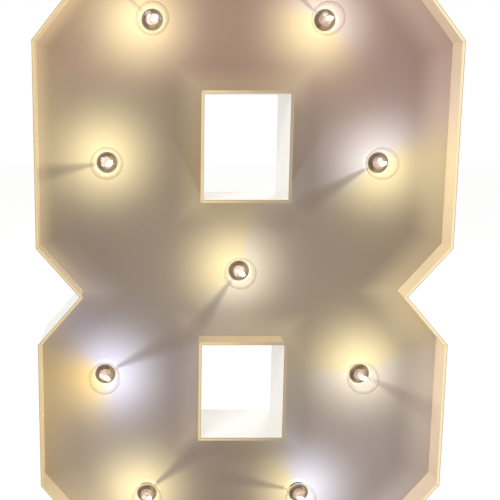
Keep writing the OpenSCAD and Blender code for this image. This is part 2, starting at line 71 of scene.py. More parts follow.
Colour = tuple[float, float, float, float]
Vector3 = tuple[float, float, float]
Pair = tuple[float, float]
Socket = bpy.types.NodeSocket
Values = dict[str | int, object]

LOG = logging.getLogger("marquee")
MM = 0.001
SHARP_ANGLE = math.radians(38)
WHITE = (1.0, 1.0, 1.0, 1.0)
BLACK = (0.0, 0.0, 0.0, 1.0)
BLUISH = (0.53, 0.56, 0.71)
ORANGE = (0.80, 0.58, 0.20)
NO_LIGHT = (0.0, 0.0, 0.0)

# Factors that leave only what lies in the plane of the face: across and up.
IN_FACE = (1.0, 0.0, 1.0)

# Depths at the front of the face panel between which the bulbs' light sets in, on the face and on the walls.
FACE_FADE = (-0.0139, -0.0149)
WALL_FADE = (-0.0135, -0.0155)

# Places of the sockets that take and give colours on Blender's mix node, where several have the same name.
MIX_FACTOR = 0
MIX_FIRST = 6
MIX_SECOND = 7
MIX_RESULT = 2


class Slot(Enum):
    """Material slots of the part, by the names in its record."""

    SHEET = "sheet_white"
    STEEL = "plain_steel"
    HOLDER = "holder_white"
    BRASS = "brass"
    SWITCH = "switch_black"
    ROCKER = "rocker_black"
    GLAND = "gland_black"
    BLOCK = "block_white"
    CABLE = "cable_white"
    EARTH = "cable_green"
    GLASS = "bulb_glass"
    CAP = "cap_metal"
    STEM = "stem_glass"


class Layer(Enum):
    """The two layers of a bulb's light: its bright halo and the wide haze round that."""

    HALO = "halo"
    HAZE = "haze"


def ink(red: int, green: int, blue: int) -> Colour:
    """Turns a colour written in display values into linear light.

    Args:
        red: Red from 0 to 255.
        green: Green from 0 to 255.
        blue: Blue from 0 to 255.

    Returns:
        The colour, opaque.
    """
    shown = np.array([red, green, blue]) / 255.0
    light = np.where(shown <= 0.04045, shown / 12.92, ((shown + 0.055) / 1.055) ** 2.4)
    return float(light[0]), float(light[1]), float(light[2]), 1.0


def heading(turn: float) -> Vector3:
    """Returns the direction in the face's plane at a turn in degrees, counted left round from the right."""
    return math.cos(math.radians(turn)), 0.0, math.sin(math.radians(turn))


class Sketch:
    """Node tree of a material, a group or the world, drawn step by step."""

    def __init__(self, tree: bpy.types.NodeTree) -> None:
        """Keeps the tree that the steps add to."""
        self.tree = tree

    def fill(self, made: bpy.types.Node, values: Values) -> None:
        """Links inputs of a node to other sockets, or sets their own values.

        Args:
            made: The node.
            values: Sockets, numbers, vectors or colours, by the inputs' names or places.
        """
        for key, value in values.items():
            if isinstance(value, Socket):
                self.tree.links.new(value, made.inputs[key])
            else:
                made.inputs[key].default_value = value

    def node(self, kind: str, values: Values | None = None, **settings: object) -> bpy.types.Node:
        """Adds a node.

        Args:
            kind: Blender's name of the node's type.
            values: Values of its inputs, by their names or places.
            **settings: Properties to set on it.

        Returns:
            The new node.
        """
        made = self.tree.nodes.new(kind)
        for key, value in settings.items():
            setattr(made, key, value)
        self.fill(made, values or {})
        return made

    def sums(self, operation: str, first: object, second: object = 0.0) -> Socket:
        """Returns the result of a sum on two numbers."""
        return self.node("ShaderNodeMath", {0: first, 1: second}, operation=operation).outputs[0]

    def product(self, first: object, *others: object) -> Socket:
        """Draws the product of two or more numbers.

        Args:
            first: The first number.
            *others: The numbers that it is multiplied by, in their order.

        Returns:
            The socket that gives the product.
        """
        result = first
        for other in others:
            result = self.sums("MULTIPLY", result, other)
        return result

    def decay(self, ratio: Socket, power: float, speed: float = 1.0) -> Socket:
        """Returns exp(-speed * ratio ^ power)."""
        return self.sums("EXPONENT", self.product(self.sums("POWER", ratio, power), -speed))

    def vectors(self, operation: str, first: object, second: object = (0.0, 0.0, 0.0)) -> Socket:
        """Draws a sum on two vectors.

        Args:
            operation: Blender's name of the sum.
            first: The first vector.
            second: The second vector, where the sum takes one.

        Returns:
            The socket that gives the result, a number where the sum gives one.
        """
        made = self.node("ShaderNodeVectorMath", {0: first, 1: second}, operation=operation)
        gives_number = operation in ("DOT_PRODUCT", "DISTANCE")
        return made.outputs["Value" if gives_number else "Vector"]

    def scaled(self, vector: object, factor: object) -> Socket:
        """Returns a vector or colour times a number."""
        made = self.node("ShaderNodeVectorMath", {0: vector, "Scale": factor}, operation="SCALE")
        return made.outputs["Vector"]

    def span(
        self, value: object, low: object, high: object, start: object = 0.0, end: object = 1.0
    ) -> Socket:
        """Carries a number smoothly from one span to another.

        Args:
            value: The number.
            low: Value at which the result is start.
            high: Value at which the result is end.
            start: Result at low.
            end: Result at high.

        Returns:
            The socket that gives the result.
        """
        values = {"Value": value, "From Min": low, "From Max": high, "To Min": start, "To Max": end}
        return self.node("ShaderNodeMapRange", values, interpolation_type="SMOOTHSTEP").outputs["Result"]

    def blend(self, factor: object, first: object, second: object) -> Socket:
        """Returns a mix of two colours, the second in full at a factor of 1."""
        values = {MIX_FACTOR: factor, MIX_FIRST: first, MIX_SECOND: second}
        return self.node("ShaderNodeMix", values, data_type="RGBA").outputs[MIX_RESULT]

    def mixed(self, factor: Socket, first: bpy.types.Node, second: bpy.types.Node) -> Socket:
        """Returns a mix of two shaders, the second in full at a factor of 1."""
        values = {0: factor, 1: first.outputs[0], 2: second.outputs[0]}
        return self.node("ShaderNodeMixShader", values).outputs[0]

    def axes(self, vector: Socket) -> list[Socket]:
        """Returns the three numbers of a vector."""
        return list(self.node("ShaderNodeSeparateXYZ", {0: vector}).outputs)

    def place(self) -> Socket:
        """Returns the Object coordinates, which are metres in the part's own frame."""
        return self.node("ShaderNodeTexCoord").outputs["Object"]

    def in_face(self) -> Socket:
        """Returns the Object coordinates with the depth left out."""
        return self.vectors("MULTIPLY", self.place(), IN_FACE)

    def wrap(self) -> list[Socket]:
        """Returns the numbers of the piece's own UV map: the turn about its rings, and the run along them."""
        return self.axes(self.node("ShaderNodeTexCoord").outputs["UV"])[:2]

    def noise(self, scale: float, detail: float) -> Socket:
        """Returns a soft noise around 0.5, by its patches in a metre and the finer layers on top."""
        values = {"Vector": self.place(), "Scale": scale, "Detail": detail}
        return self.node("ShaderNodeTexNoise", values).outputs["Fac"]

    def in_front(self, fade: Pair) -> Socket:
        """Returns 1 in front of the face panel's sheet and 0 behind it, by the depths of the change."""
        return self.span(self.axes(self.place())[1], *fade)

    def looked_at(self) -> Socket:
        """Draws what tells looking from lighting.

        Returns:
            A socket with 1 for rays from the camera, off gloss and through glass, and 0 for rays that light.
        """
        path = self.node("ShaderNodeLightPath").outputs
        seen = self.sums("MAXIMUM", path["Is Camera Ray"], path["Is Glossy Ray"])
        return self.sums("MAXIMUM", seen, path["Is Transmission Ray"])


@dataclass(frozen=True)
class Patches:
    """Soft patches all over a surface: a noise, and the two values of it between which they blend."""

    scale: float
    detail: float
    low: float
    high: float

    def draw(self, sketch: Sketch, start: float = 0.0, end: float = 1.0) -> Socket:
        """Returns a number that is start outside the patches and end in them."""
        return sketch.span(sketch.noise(self.scale, self.detail), self.low, self.high, start, end)


@dataclass(frozen=True)
class Relief:
    """Fine relief of a surface, as a bump from a soft noise."""

    strength: float
    scale: float = 2500.0
    detail: float = 1.0
    height: float = 0.05 * MM

    def draw(self, sketch: Sketch) -> Socket:
        """Draws the relief.

        Args:
            sketch: Tree to draw in.

        Returns:
            The socket that gives the surface's normal.
        """
        waves = sketch.noise(self.scale, self.detail)
        values = {"Strength": self.strength, "Distance": self.height, "Height": waves}
        return sketch.node("ShaderNodeBump", values).outputs["Normal"]


class Finish(ABC):
    """A finish that draws what its material's shader takes."""

    @abstractmethod
    def draw(self, sketch: Sketch) -> Values:
        """Returns the values of the shader's inputs, by their names."""

    def make(self, name: str) -> bpy.types.Material:
        """Makes a material with this finish.

        Args:
            name: Name of the material.

        Returns:
            The material.
        """
        material = bpy.data.materials.new(name)
        material.use_nodes = True
        sketch = Sketch(material.node_tree)
        sketch.fill(material.node_tree.nodes["Principled BSDF"], self.draw(sketch))
        return material


@dataclass(frozen=True)
class Enamel(Finish):
    """Stoved white paint on sheet: a slight orange peel, faint clouds in it and hand marks in its gloss."""

    colour: Colour = ink(252, 251, 248)
    cloud: Colour = ink(247, 245, 240)
    clouds: Patches = Patches(7.0, 3.0, 0.35, 0.7)
    smears: Patches = Patches(14.0, 4.0, 0.3, 0.7)
    rough: Pair = (0.34, 0.48)
    peel: Relief = Relief(0.25, scale=900.0, height=0.08 * MM)
    specular: float = 0.35

    def skin(self, sketch: Sketch) -> Values:
        """Draws the paint's gloss and orange peel.

        Args:
            sketch: Tree to draw in.

        Returns:
            The values of the shader's inputs for them.
        """
        return {
            "Roughness": self.smears.draw(sketch, *self.rough),
            "Normal": self.peel.draw(sketch),
            "Specular IOR Level": self.specular,
        }

    def clouded(self, sketch: Sketch) -> Socket:
        """Returns the paint's colour with its clouds."""
        return sketch.blend(self.clouds.draw(sketch), self.colour, self.cloud)

    def draw(self, sketch: Sketch) -> Values:
        """Returns the shader's values for the plain white paint."""
        return {"Base Color": self.clouded(sketch), **self.skin(sketch)}


@dataclass(frozen=True)
class Glow:
    """Light of a bulb on the paint near it, warm on one side and cool on the other, with a dark streak."""

    reach: float
    fall: float
    lift: float = 0.26
    streak_core: float = 0.1
    warm_edge: Pair = (-0.5, 0.5)
    vectors: tuple[str, ...] = ("Point", "Centre", "Root", "Streak", "Warm", "Warm Colour", "Cool Colour")
    numbers: tuple[str, ...] = ("Narrow", "Dark", "Least", "Middle", "Level")

    def start_group(self, name: str) -> bpy.types.NodeTree:
        """Starts a node group that takes the vectors and numbers named above, and gives Light.

        Args:
            name: Name of the group.

        Returns:
            The group, with nothing drawn in it yet.
        """
        tree = bpy.data.node_groups.new(name, "ShaderNodeTree")
        for title in self.vectors:
            tree.interface.new_socket(title, in_out="INPUT", socket_type="NodeSocketVector")
        for title in self.numbers:
            tree.interface.new_socket(title, in_out="INPUT", socket_type="NodeSocketFloat")
        tree.interface.new_socket("Light", in_out="OUTPUT", socket_type="NodeSocketVector")
        return tree

    def group(self, name: str) -> bpy.types.NodeTree:
        """Draws the light round one bulb.

        The light is level * exp(-(r / reach) ^ fall) of the distance r from its centre, lifted close to the
        bulb by 1 + lift * exp(-(2 r / reach) ^ 2). In a narrow wedge from the bulb's root along the streak's
        heading, part of it is gone. A share of what is left is warm, more so towards the warm heading.

        Args:
            name: Name of the node group.

        Returns:
            The group.
        """
        tree = self.start_group(name)
        sketch = Sketch(tree)
        given = sketch.node("NodeGroupInput").outputs
        ratio = sketch.sums("DIVIDE", sketch.vectors("DISTANCE", given["Point"], given["Centre"]), self.reach)
        close = sketch.decay(ratio, 2.0, 4.0)
        lifted = sketch.sums("ADD", 1.0, sketch.product(close, self.lift))
        away = sketch.vectors("SUBTRACT", given["Point"], given["Root"])
        flat = sketch.vectors("NORMALIZE", sketch.vectors("MULTIPLY", away, IN_FACE))
        off_streak = sketch.sums("ARCCOSINE", sketch.vectors("DOT_PRODUCT", flat, given["Streak"]))
        core = sketch.product(given["Narrow"], self.streak_core)
        streak = sketch.span(off_streak, core, given["Narrow"], given["Dark"], 1.0)
        light = sketch.product(sketch.decay(ratio, self.fall), given["Level"], lifted, streak)
        to_warm = sketch.vectors("DOT_PRODUCT", flat, given["Warm"])
        turn = sketch.span(sketch.sums("SUBTRACT", to_warm, given["Middle"]), *self.warm_edge)
        warm = sketch.product(light, sketch.sums("MAXIMUM", turn, given["Least"]))
        cool = sketch.sums("SUBTRACT", light, warm)
        warm_light = sketch.scaled(given["Warm Colour"], warm)
        cool_light = sketch.scaled(given["Cool Colour"], cool)
        sketch.node("NodeGroupOutput", {"Light": sketch.vectors("ADD", warm_light, cool_light)})
        return tree


HALO = Glow(reach=0.060, fall=2.3)
HAZE = Glow(reach=0.135, fall=2.0)
ON_WALLS = Glow(reach=0.13, fall=2.0)
HAZE_LEAN = 2.5


@dataclass(frozen=True)
class WarmSide:
    """The warm side of a bulb's light: its heading, its least share all round, its border and both colours."""

    turn: float
    least: float
    middle: float = 0.05
    warm: Vector3 = (0.68, 0.58, 0.30)
    cool: Vector3 = (0.56, 0.55, 0.57)


@dataclass(frozen=True)
class Streak:
    """Dark wedge in a bulb's light: its heading, half its angle, and the share of light left in it."""

    turn: float
    half: float
    left: float


@dataclass(frozen=True)
class Throw:
    """How one bulb throws its light: its warm side, its streak, its haze's level, and which way it leans."""

    side: WarmSide
    streak: Streak
    haze: float
    lean_x: float = 0.0
    lean_z: float = 0.0


@dataclass(frozen=True)
class BulbLight:
    """Where one bulb's light comes from, and how it is thrown on the face."""

    root: Vector3
    throw: Throw

    def settings(self, weight: Vector3, layer: Layer) -> Values:
        """Gives the values of the bulb's glow group.

        Args:
            weight: Factors on the three axes of its place.
            layer: Which of the bulb's two layers this is.

        Returns:
            The values by the names of the group's inputs.
        """
        throw = self.throw
        root = tuple(np.multiply(self.root, weight).tolist())
        is_halo = layer is Layer.HALO
        lean = 1.0 if is_halo else HAZE_LEAN
        return {
            "Root": root,
            "Centre": (root[0] + lean * throw.lean_x, root[1], root[2] + lean * throw.lean_z),
            "Streak": heading(throw.streak.turn),
            "Warm": heading(throw.side.turn),
            "Warm Colour": throw.side.warm,
            "Cool Colour": throw.side.cool,
            "Narrow": math.radians(throw.streak.half),
            "Dark": throw.streak.left,
            "Least": throw.side.least,
            "Middle": throw.side.middle,
            "Level": 1.0 if is_halo else throw.haze,
        }


@dataclass(frozen=True)
class Lighting:
    """The glow of all bulbs together."""

    bulbs: tuple[BulbLight, ...]

    def sum(self, sketch: Sketch, glow: Glow, layer: Layer, flat: bool) -> Socket:
        """Adds the bulbs' light up.

        Args:
            sketch: Tree to draw in.
            glow: How the light falls off.
            layer: Which of the bulbs' two layers this is.
            flat: True where the distance counts only across the face.

        Returns:
            The socket that gives the light's colour.
        """
        tree = glow.group(f"bulb_{layer.value}")
        weight = IN_FACE if flat else (1.0, 1.0, 1.0)
        point = sketch.vectors("MULTIPLY", sketch.place(), weight)
        light: object = NO_LIGHT
        for bulb in self.bulbs:
            values = {"Point": point, **bulb.settings(weight, layer)}
            made = sketch.node("ShaderNodeGroup", values, node_tree=tree)
            light = sketch.vectors("ADD", light, made.outputs["Light"])
        return light

    def nearest(self, sketch: Sketch) -> Socket:
        """Draws the distance across the face to the nearest bulb's axis, up to a metre.

        Args:
            sketch: Tree to draw in.

        Returns:
            The socket that gives the distance.
        """
        point = sketch.in_face()
        least: object = 1.0
        for bulb in self.bulbs:
            away = sketch.vectors("DISTANCE", point, (bulb.root[0], 0.0, bulb.root[2]))
            least = sketch.sums("MINIMUM", least, away)
        return least


@dataclass(frozen=True)
class Outline:
    """Straight edges of the figure, mirrored about its middle, by points across and up from foot to crown."""

    corners: tuple[Pair, ...] = (
        (0.180, 0.0),
        (0.290, 0.133),
        (0.290, 0.344),
        (0.230, 0.413),
        (0.290, 0.482),
        (0.290, 0.764),
        (0.180, 0.900),
    )
    height: float = 0.900
    notch_edges: tuple[int, int] = (2, 3)

    def depth(self, sketch: Sketch) -> Socket:
        """Draws how deep a point lies inside the outline.

        That is the least of its distances to the edges' lines. Of the two lines of the notch, which leaves
        the figure hollow there, the greater one counts.

        Args:
            sketch: Tree to draw in.

        Returns:
            The socket that gives the depth in metres.
        """
        folded = sketch.vectors("ABSOLUTE", sketch.place())
        up = sketch.axes(folded)[2]
        depth = sketch.sums("MINIMUM", up, sketch.sums("SUBTRACT", self.height, up))
        notch: list[Socket] = []
        for number, (low, high) in enumerate(zip(self.corners, self.corners[1:])):
            along = np.subtract(high, low)
            normal = np.array([along[1], -along[0]]) / np.linalg.norm(along)
            reach = float(normal @ np.array(low))
            across = sketch.vectors("DOT_PRODUCT", folded, (float(normal[0]), 0.0, float(normal[1])))
            edge = sketch.sums("SUBTRACT", reach, across)
            if number in self.notch_edges:
                notch.append(edge)
            else:
                depth = sketch.sums("MINIMUM", depth, edge)
        return sketch.sums("MINIMUM", depth, sketch.sums("MAXIMUM", notch[0], notch[1]))


@dataclass(frozen=True)
class Window:
    """A window's opening, by its middle and half sizes."""

    middle_z: float
    half_w: float
    half_h: float

    def depth(self, sketch: Sketch) -> Socket:
        """Draws how far a point lies outside the opening, as the greater of its distances across and up.

        Args:
            sketch: Tree to draw in.

        Returns:
            The socket that gives the distance in metres.
        """
        away = sketch.vectors("SUBTRACT", sketch.place(), (0.0, 0.0, self.middle_z))
        parts = sketch.axes(sketch.vectors("ABSOLUTE", away))
        across = sketch.sums("SUBTRACT", parts[0], self.half_w)
        upwards = sketch.sums("SUBTRACT", parts[2], self.half_h)
        return sketch.sums("MAXIMUM", across, upwards)


@dataclass(frozen=True)
class WindowShade:
    """Shade on the face where a window's wall cuts off the light of the bulb below it."""

    window: Window
    bulb: BulbLight
    colour: Vector3 = (0.045, 0.052, 0.050)
    soft: float = 0.04
    reach: float = 0.13
    set_in: float = 0.004

    def draw(self, sketch: Sketch) -> Socket:
        """Draws the light that is missing.

        The shade is a wedge with its tip in the bulb, between the headings of the window's two lower corners.
        It starts at the window's lower edge and fades out over its reach.

        Args:
            sketch: Tree to draw in.

        Returns:
            The socket that gives the colour to take away.
        """
        x, _, z = self.bulb.root
        start = self.window.middle_z - self.window.half_h - z
        right, left = (math.atan2(start, side * self.window.half_w - x) for side in (1.0, -1.0))
        middle = heading(math.degrees((right + left) / 2))
        half = (left - right) / 2
        away = sketch.vectors("SUBTRACT", sketch.place(), self.bulb.root)
        away = sketch.vectors("MULTIPLY", away, IN_FACE)
        aligned = sketch.vectors("DOT_PRODUCT", sketch.vectors("NORMALIZE", away), middle)
        inside = sketch.span(sketch.sums("ARCCOSINE", aligned), half + self.soft / 2, half - self.soft / 2)
        beyond = sketch.axes(away)[2]
        fade = sketch.span(beyond, start + self.reach, start)
        begun = sketch.span(beyond, start, start + self.set_in)
        return sketch.scaled(self.colour, sketch.product(inside, fade, begun))


@dataclass(frozen=True)
class FoldedEnamel(Finish):
    """Paint of the folded strips: lips with painted light that is stronger on one side and a painted-shade
    line along their bent edge, inner walls of the white paint painted warmer and darker as painted light and
    shade, with painted glow, and plain white outer walls.
    """

    shape: Outline | Window
    paint: Enamel
    lighting: Lighting
    # Lip colours at left and right: painted light, lighter on the side that gets more light.
    lip_left: Colour
    lip_right: Colour
    half_w: float
    lip_wander: float = 0.2
    # Inner wall colours: the white paint painted warmer and darker, as painted light and shade in the channel.
    wall: Colour = ink(238, 218, 189)
    wall_cloud: Colour = ink(230, 209, 180)
    wall_light: float = 0.55
    clouds: Patches = Patches(9.0, 3.0, 0.35, 0.68)
    # Painted shade: the dark line along the lip's bent outer edge.
    edge: Colour = ink(160, 136, 100)
    edge_shade_width: float = 1.0 * MM
    edge_shade_full: float = 0.3 * MM
    lip_front: float = -59.2 * MM
    lip_soft: float = 0.2 * MM
    inner_face: Pair = (0.48 * MM, 0.72 * MM)

    def draw(self, sketch: Sketch) -> Values:
        """Draws the paint of one strip, whose shape tells the sheet's outer face from its inner one.

        Args:
            sketch: Tree to draw in.

        Returns:
            The values of the shader's inputs.
        """
        depth = self.shape.depth(sketch)
        x, y, _ = sketch.axes(sketch.place())
        clouds = self.clouds.draw(sketch)
        wander = self.lip_wander * self.half_w
        across = sketch.sums("ADD", x, sketch.span(clouds, 0.0, 1.0, -wander, wander))
        # Painted light: the lip's colour runs from its left colour to its right one.
        lip = sketch.blend(sketch.span(across, -self.half_w, self.half_w), self.lip_left, self.lip_right)
        # Painted shade along the lip's bent outer edge.
        lip = sketch.blend(sketch.span(depth, self.edge_shade_width, self.edge_shade_full), lip, self.edge)
        # The inner wall's painted light and shade.
        wall = sketch.blend(clouds, self.wall, self.wall_cloud)
        inner = sketch.span(depth, *self.inner_face)
        colour = sketch.blend(inner, self.paint.clouded(sketch), wall)
        front = sketch.span(y, self.lip_front + self.lip_soft, self.lip_front)
        light = self.lighting.sum(sketch, ON_WALLS, Layer.HALO, flat=False)
        shown = sketch.product(inner, sketch.in_front(WALL_FADE), sketch.sums("SUBTRACT", 1.0, front))
        return {
            "Base Color": sketch.blend(front, colour, lip),
            "Emission Color": sketch.scaled(light, shown),
            "Emission Strength": self.wall_light,
            **self.paint.skin(sketch),
        }


@dataclass(frozen=True)
class FaceEnamel(Finish):
    """Paint of the recessed face: white paint painted greige as painted shade where no bulb is near, with each
    bulb's painted glow and streak on it.
    """

    paint: Enamel
    lighting: Lighting
    outline: Outline
    windows: tuple[Window, ...]
    shade: WindowShade
    half_w: float = 0.29
    # Base colours of the face: the white paint painted greige, as painted shade.
    waist: Colour = ink(119, 103, 92)
    crown: Colour = ink(142, 113, 103)
    crown_heights: Pair = (0.60, 0.76)
    # The foot's lighter, cooler sides are painted cool light of the lower bulbs.
    foot_left: Colour = ink(136, 122, 113)
    foot_middle: Colour = ink(125, 110, 100)
    foot_right: Colour = ink(142, 128, 121)
    foot_heights: Pair = (0.36, 0.24)
    foot_sides: Pair = (0.07, 0.20)
    clouds: Patches = Patches(4.0, 2.0, 0.3, 0.7)
    cloud_rise: float = 0.06
    bounce: Vector3 = (0.06, 0.045, 0.03)
    bounce_share: float = 0.40
    bounce_sides: Pair = (0.6, 1.35)
    bounce_width: float = 0.055
    window_share: float = 0.55
    window_width: float = 0.045
    close_bounce: Vector3 = (0.227, 0.167, 0.104)
    close_width: float = 0.032
    close_across: Pair = (-0.15, -0.25)
    close_heights: Pair = (0.36, 0.50)
    close_at_foot: float = 0.25

    def shaded_tone(self, sketch: Sketch) -> Socket:
        """Draws the face's base colour: white paint painted greige as painted shade, mauve at the crown, with
        painted cool light at the foot's sides and soft clouds.

        Args:
            sketch: Tree to draw in.

        Returns:
            The socket that gives the colour.
        """
        across, _, height = sketch.axes(sketch.place())
        clouded = sketch.sums("ADD", height, self.clouds.draw(sketch, -self.cloud_rise, self.cloud_rise))
        upper = sketch.blend(sketch.span(clouded, *self.crown_heights), self.waist, self.crown)
        start, end = self.foot_sides
        foot = sketch.blend(sketch.span(across, -start, -end), self.foot_middle, self.foot_left)
        foot = sketch.blend(sketch.span(across, start, end), foot, self.foot_right)
        return sketch.blend(sketch.span(clouded, *self.foot_heights), upper, foot)

    def near_walls(self, sketch: Sketch) -> Socket:
        """Draws how much of the walls' bounced light reaches a point, more of it on the right.

        Args:
            sketch: Tree to draw in.

        Returns:
            The socket that gives the share.
        """
        across = sketch.axes(sketch.place())[0]
        side = sketch.span(across, -self.half_w, self.half_w, *self.bounce_sides)
        near = sketch.product(sketch.span(self.outline.depth(sketch), self.bounce_width, 0.0), side)
        for window in self.windows:
            beside = sketch.span(window.depth(sketch), self.window_width, 0.0, 0.0, self.window_share)
            near = sketch.sums("MAXIMUM", near, beside)
        return near

    def beside_left_wall(self, sketch: Sketch) -> Socket:
        """Draws the light close to the left wall, as the square of nearness, and less at the foot.

        Args:
            sketch: Tree to draw in.

        Returns:
            The socket that gives the light's colour.
        """
        across, _, height = sketch.axes(sketch.place())
        near = sketch.span(self.outline.depth(sketch), self.close_width, 0.0)
        left = sketch.span(across, *self.close_across)
        upper = sketch.span(height, *self.close_heights, self.close_at_foot, 1.0)
        return sketch.scaled(self.close_bounce, sketch.product(near, near, left, upper))

    def light(self, sketch: Sketch) -> Socket:
        """Adds up all light on the face, and takes the window's shade away.

        Args:
            sketch: Tree to draw in.

        Returns:
            The socket that gives the light's colour.
        """
        light = self.lighting.sum(sketch, HALO, Layer.HALO, flat=True)
        haze = self.lighting.sum(sketch, HAZE, Layer.HAZE, flat=True)
        on_wall = self.lighting.sum(sketch, ON_WALLS, Layer.HALO, flat=True)
        bounce = sketch.vectors("ADD", self.bounce, sketch.scaled(on_wall, self.bounce_share))
        bounce = sketch.scaled(bounce, self.near_walls(sketch))
        for more in (haze, bounce, self.beside_left_wall(sketch)):
            light = sketch.vectors("ADD", light, more)
        light = sketch.vectors("SUBTRACT", light, self.shade.draw(sketch))
        return sketch.vectors("MAXIMUM", light, NO_LIGHT)

    def draw(self, sketch: Sketch) -> Values:
        """Draws the paint with the light on its front.

        Args:
            sketch: Tree to draw in.

        Returns:
            The values of the shader's inputs.
        """
        return {
            "Base Color": self.shaded_tone(sketch),
            "Emission Color": sketch.scaled(self.light(sketch), sketch.in_front(FACE_FADE)),
            "Emission Strength": 1.0,
            **self.paint.skin(sketch),
        }


@dataclass(frozen=True)
class Plastic(Finish):
    """Moulded plastic or porcelain: an even colour with fine specks, uneven gloss and a fine grain."""

    colour: Colour
    fleck: Colour
    rough: Pair
    grain: Relief
    specks: Patches = Patches(160.0, 3.0, 0.45, 0.75)
    smears: Patches = Patches(60.0, 3.0, 0.3, 0.7)

    def draw(self, sketch: Sketch) -> Values:
        """Draws the colour, the gloss and the grain.

        Args:
            sketch: Tree to draw in.

        Returns:
            The values of the shader's inputs.
        """
        return {
            "Base Color": sketch.blend(self.specks.draw(sketch), self.colour, self.fleck),
            "Roughness": self.smears.draw(sketch, *self.rough),
            "Normal": self.grain.draw(sketch),
        }


@dataclass(frozen=True)
class LitPorcelain(Finish):
    """Glazed porcelain of the holders, with painted shade round each bulb's neck and the bulbs' painted glow
    on what stands in front of the face.
    """

    body: Plastic
    lighting: Lighting
    # Painted shade in the bore round each bulb's neck.
    bore_shade: Colour = ink(88, 62, 40)
    bore_r: float = 0.0148
    bore_soft: float = 1.08
    light: float = 0.9

    def draw(self, sketch: Sketch) -> Values:
        """Draws the glaze, which is dark in the shade round each bulb's neck.

        Args:
            sketch: Tree to draw in.

        Returns:
            The values of the shader's inputs.
        """
        values = self.body.draw(sketch)
        open_to_light = sketch.span(self.lighting.nearest(sketch), self.bore_r, self.bore_soft * self.bore_r)
        glow = self.lighting.sum(sketch, HALO, Layer.HALO, flat=True)
        shown = sketch.product(sketch.in_front(FACE_FADE), open_to_light)
        return {
            **values,
            "Base Color": sketch.blend(open_to_light, self.bore_shade, values["Base Color"]),
            "Emission Color": sketch.scaled(glow, shown),
            "Emission Strength": self.light,
        }


@dataclass(frozen=True)
class Metal(Finish):
    """Plain or plated metal with fine tool marks and duller patches."""

    colour: Colour
    dull: Colour
    rough: Pair
    patches: Patches = Patches(70.0, 4.0, 0.35, 0.7)
    marks: Relief = Relief(0.2, scale=900.0, detail=2.0)

    def draw(self, sketch: Sketch) -> Values:
        """Draws the colour, the gloss and the marks.

        Args:
            sketch: Tree to draw in.

        Returns:
            The values of the shader's inputs.
        """
        patches = self.patches.draw(sketch)
        return {
            "Base Color": sketch.blend(patches, self.colour, self.dull),
            "Roughness": sketch.span(patches, 0.0, 1.0, *self.rough),
            "Metallic": 1.0,
            "Normal": self.marks.draw(sketch),
        }


@dataclass(frozen=True)
class ClearGlass(Finish):
    """Clear blown glass: painted shade where the wall is seen on edge, with faint dust and a faint painted
    warm glow of the filament's light.
    """

    # Painted shade on the glass where its wall is seen on edge.
    edge: Colour = ink(222, 196, 158)
    edge_facing: Pair = (0.92, 1.0)
    dust: Patches = Patches(420.0, 4.0, 0.62, 0.85)
    dust_rough: float = 0.02
    index: float = 1.46
    # Painted light: the filament's warm light seen in the glass.
    glow: Colour = (1.0, 0.84, 0.58, 1.0)
    glow_strength: float = 0.016

    def draw(self, sketch: Sketch) -> Values:
        """Draws the glass.

        Args:
            sketch: Tree to draw in.

        Returns:
            The values of the shader's inputs.
        """
        facing = sketch.node("ShaderNodeLayerWeight", {"Blend": 0.5}).outputs["Facing"]
        return {
            "Base Color": sketch.blend(sketch.span(facing, *self.edge_facing), WHITE, self.edge),
            "Roughness": self.dust.draw(sketch, 0.0, self.dust_rough),
            "IOR": self.index,
            "Transmission Weight": 1.0,
            "Emission Color": self.glow,
            "Emission Strength": self.glow_strength,
        }


@dataclass(frozen=True)
class ShieldMetal(Finish):
    """Dark, polished heat shield: painted shade on its upper left, painted warm light below, a painted
    highlight on its rim and painted light on its dish.
    """

    # Painted shade: the dark, brownish side on the upper left.
    shade_dark: Colour = ink(46, 34, 28)
    brown: Colour = ink(120, 84, 60)
    runs: Patches = Patches(260.0, 3.0, 0.35, 0.65)
    # Painted warm light: the yellower side below.
    lit_olive: Colour = ink(176, 150, 92)
    shade_turn: float = 150.0
    shade_edge: Pair = (-0.35, 0.25)
    # Painted highlight along the shield's rim.
    rim: Colour = ink(226, 214, 204)
    rim_run: tuple[float, float, float, float] = (0.44, 0.48, 0.50, 0.56)
    front: Colour = ink(158, 132, 124)
    front_dark: Colour = ink(102, 82, 76)
    clouds: Patches = Patches(130.0, 3.0, 0.35, 0.65)
    rough: Pair = (0.3, 0.45)
    metallic: float = 0.6
    lit: Colour = (1.0, 0.74, 0.46, 1.0)
    lit_strength: float = 0.6

    def draw(self, sketch: Sketch) -> Values:
        """Draws the shield by the turn and the run of its own UV map, whose run goes over side, rim and dish.

        Args:
            sketch: Tree to draw in.

        Returns:
            The values of the shader's inputs.
        """
        turn, run = sketch.wrap()
        # Painted shade on the upper left side, painted warm light on the other side.
        from_shade = sketch.product(sketch.sums("SUBTRACT", turn, self.shade_turn / 360.0), 2 * math.pi)
        in_shade = sketch.span(sketch.sums("COSINE", from_shade), *self.shade_edge)
        dark_side = sketch.blend(self.runs.draw(sketch), self.shade_dark, self.brown)
        side = sketch.blend(in_shade, self.lit_olive, dark_side)
        clouds = self.clouds.draw(sketch)
        front = sketch.blend(clouds, self.front, self.front_dark)
        rise, full, fall, end = self.rim_run
        colour = sketch.blend(sketch.span(run, fall, end), side, front)
        # Painted highlight on the rim.
        on_rim = sketch.product(sketch.span(run, rise, full), sketch.span(run, end, fall))
        return {
            "Base Color": sketch.blend(on_rim, colour, self.rim),
            "Roughness": sketch.span(clouds, 0.0, 1.0, *self.rough),
            "Metallic": self.metallic,
            "Emission Color": sketch.blend(sketch.span(run, end, 1.0), BLACK, self.lit),
            "Emission Strength": self.lit_strength,
        }


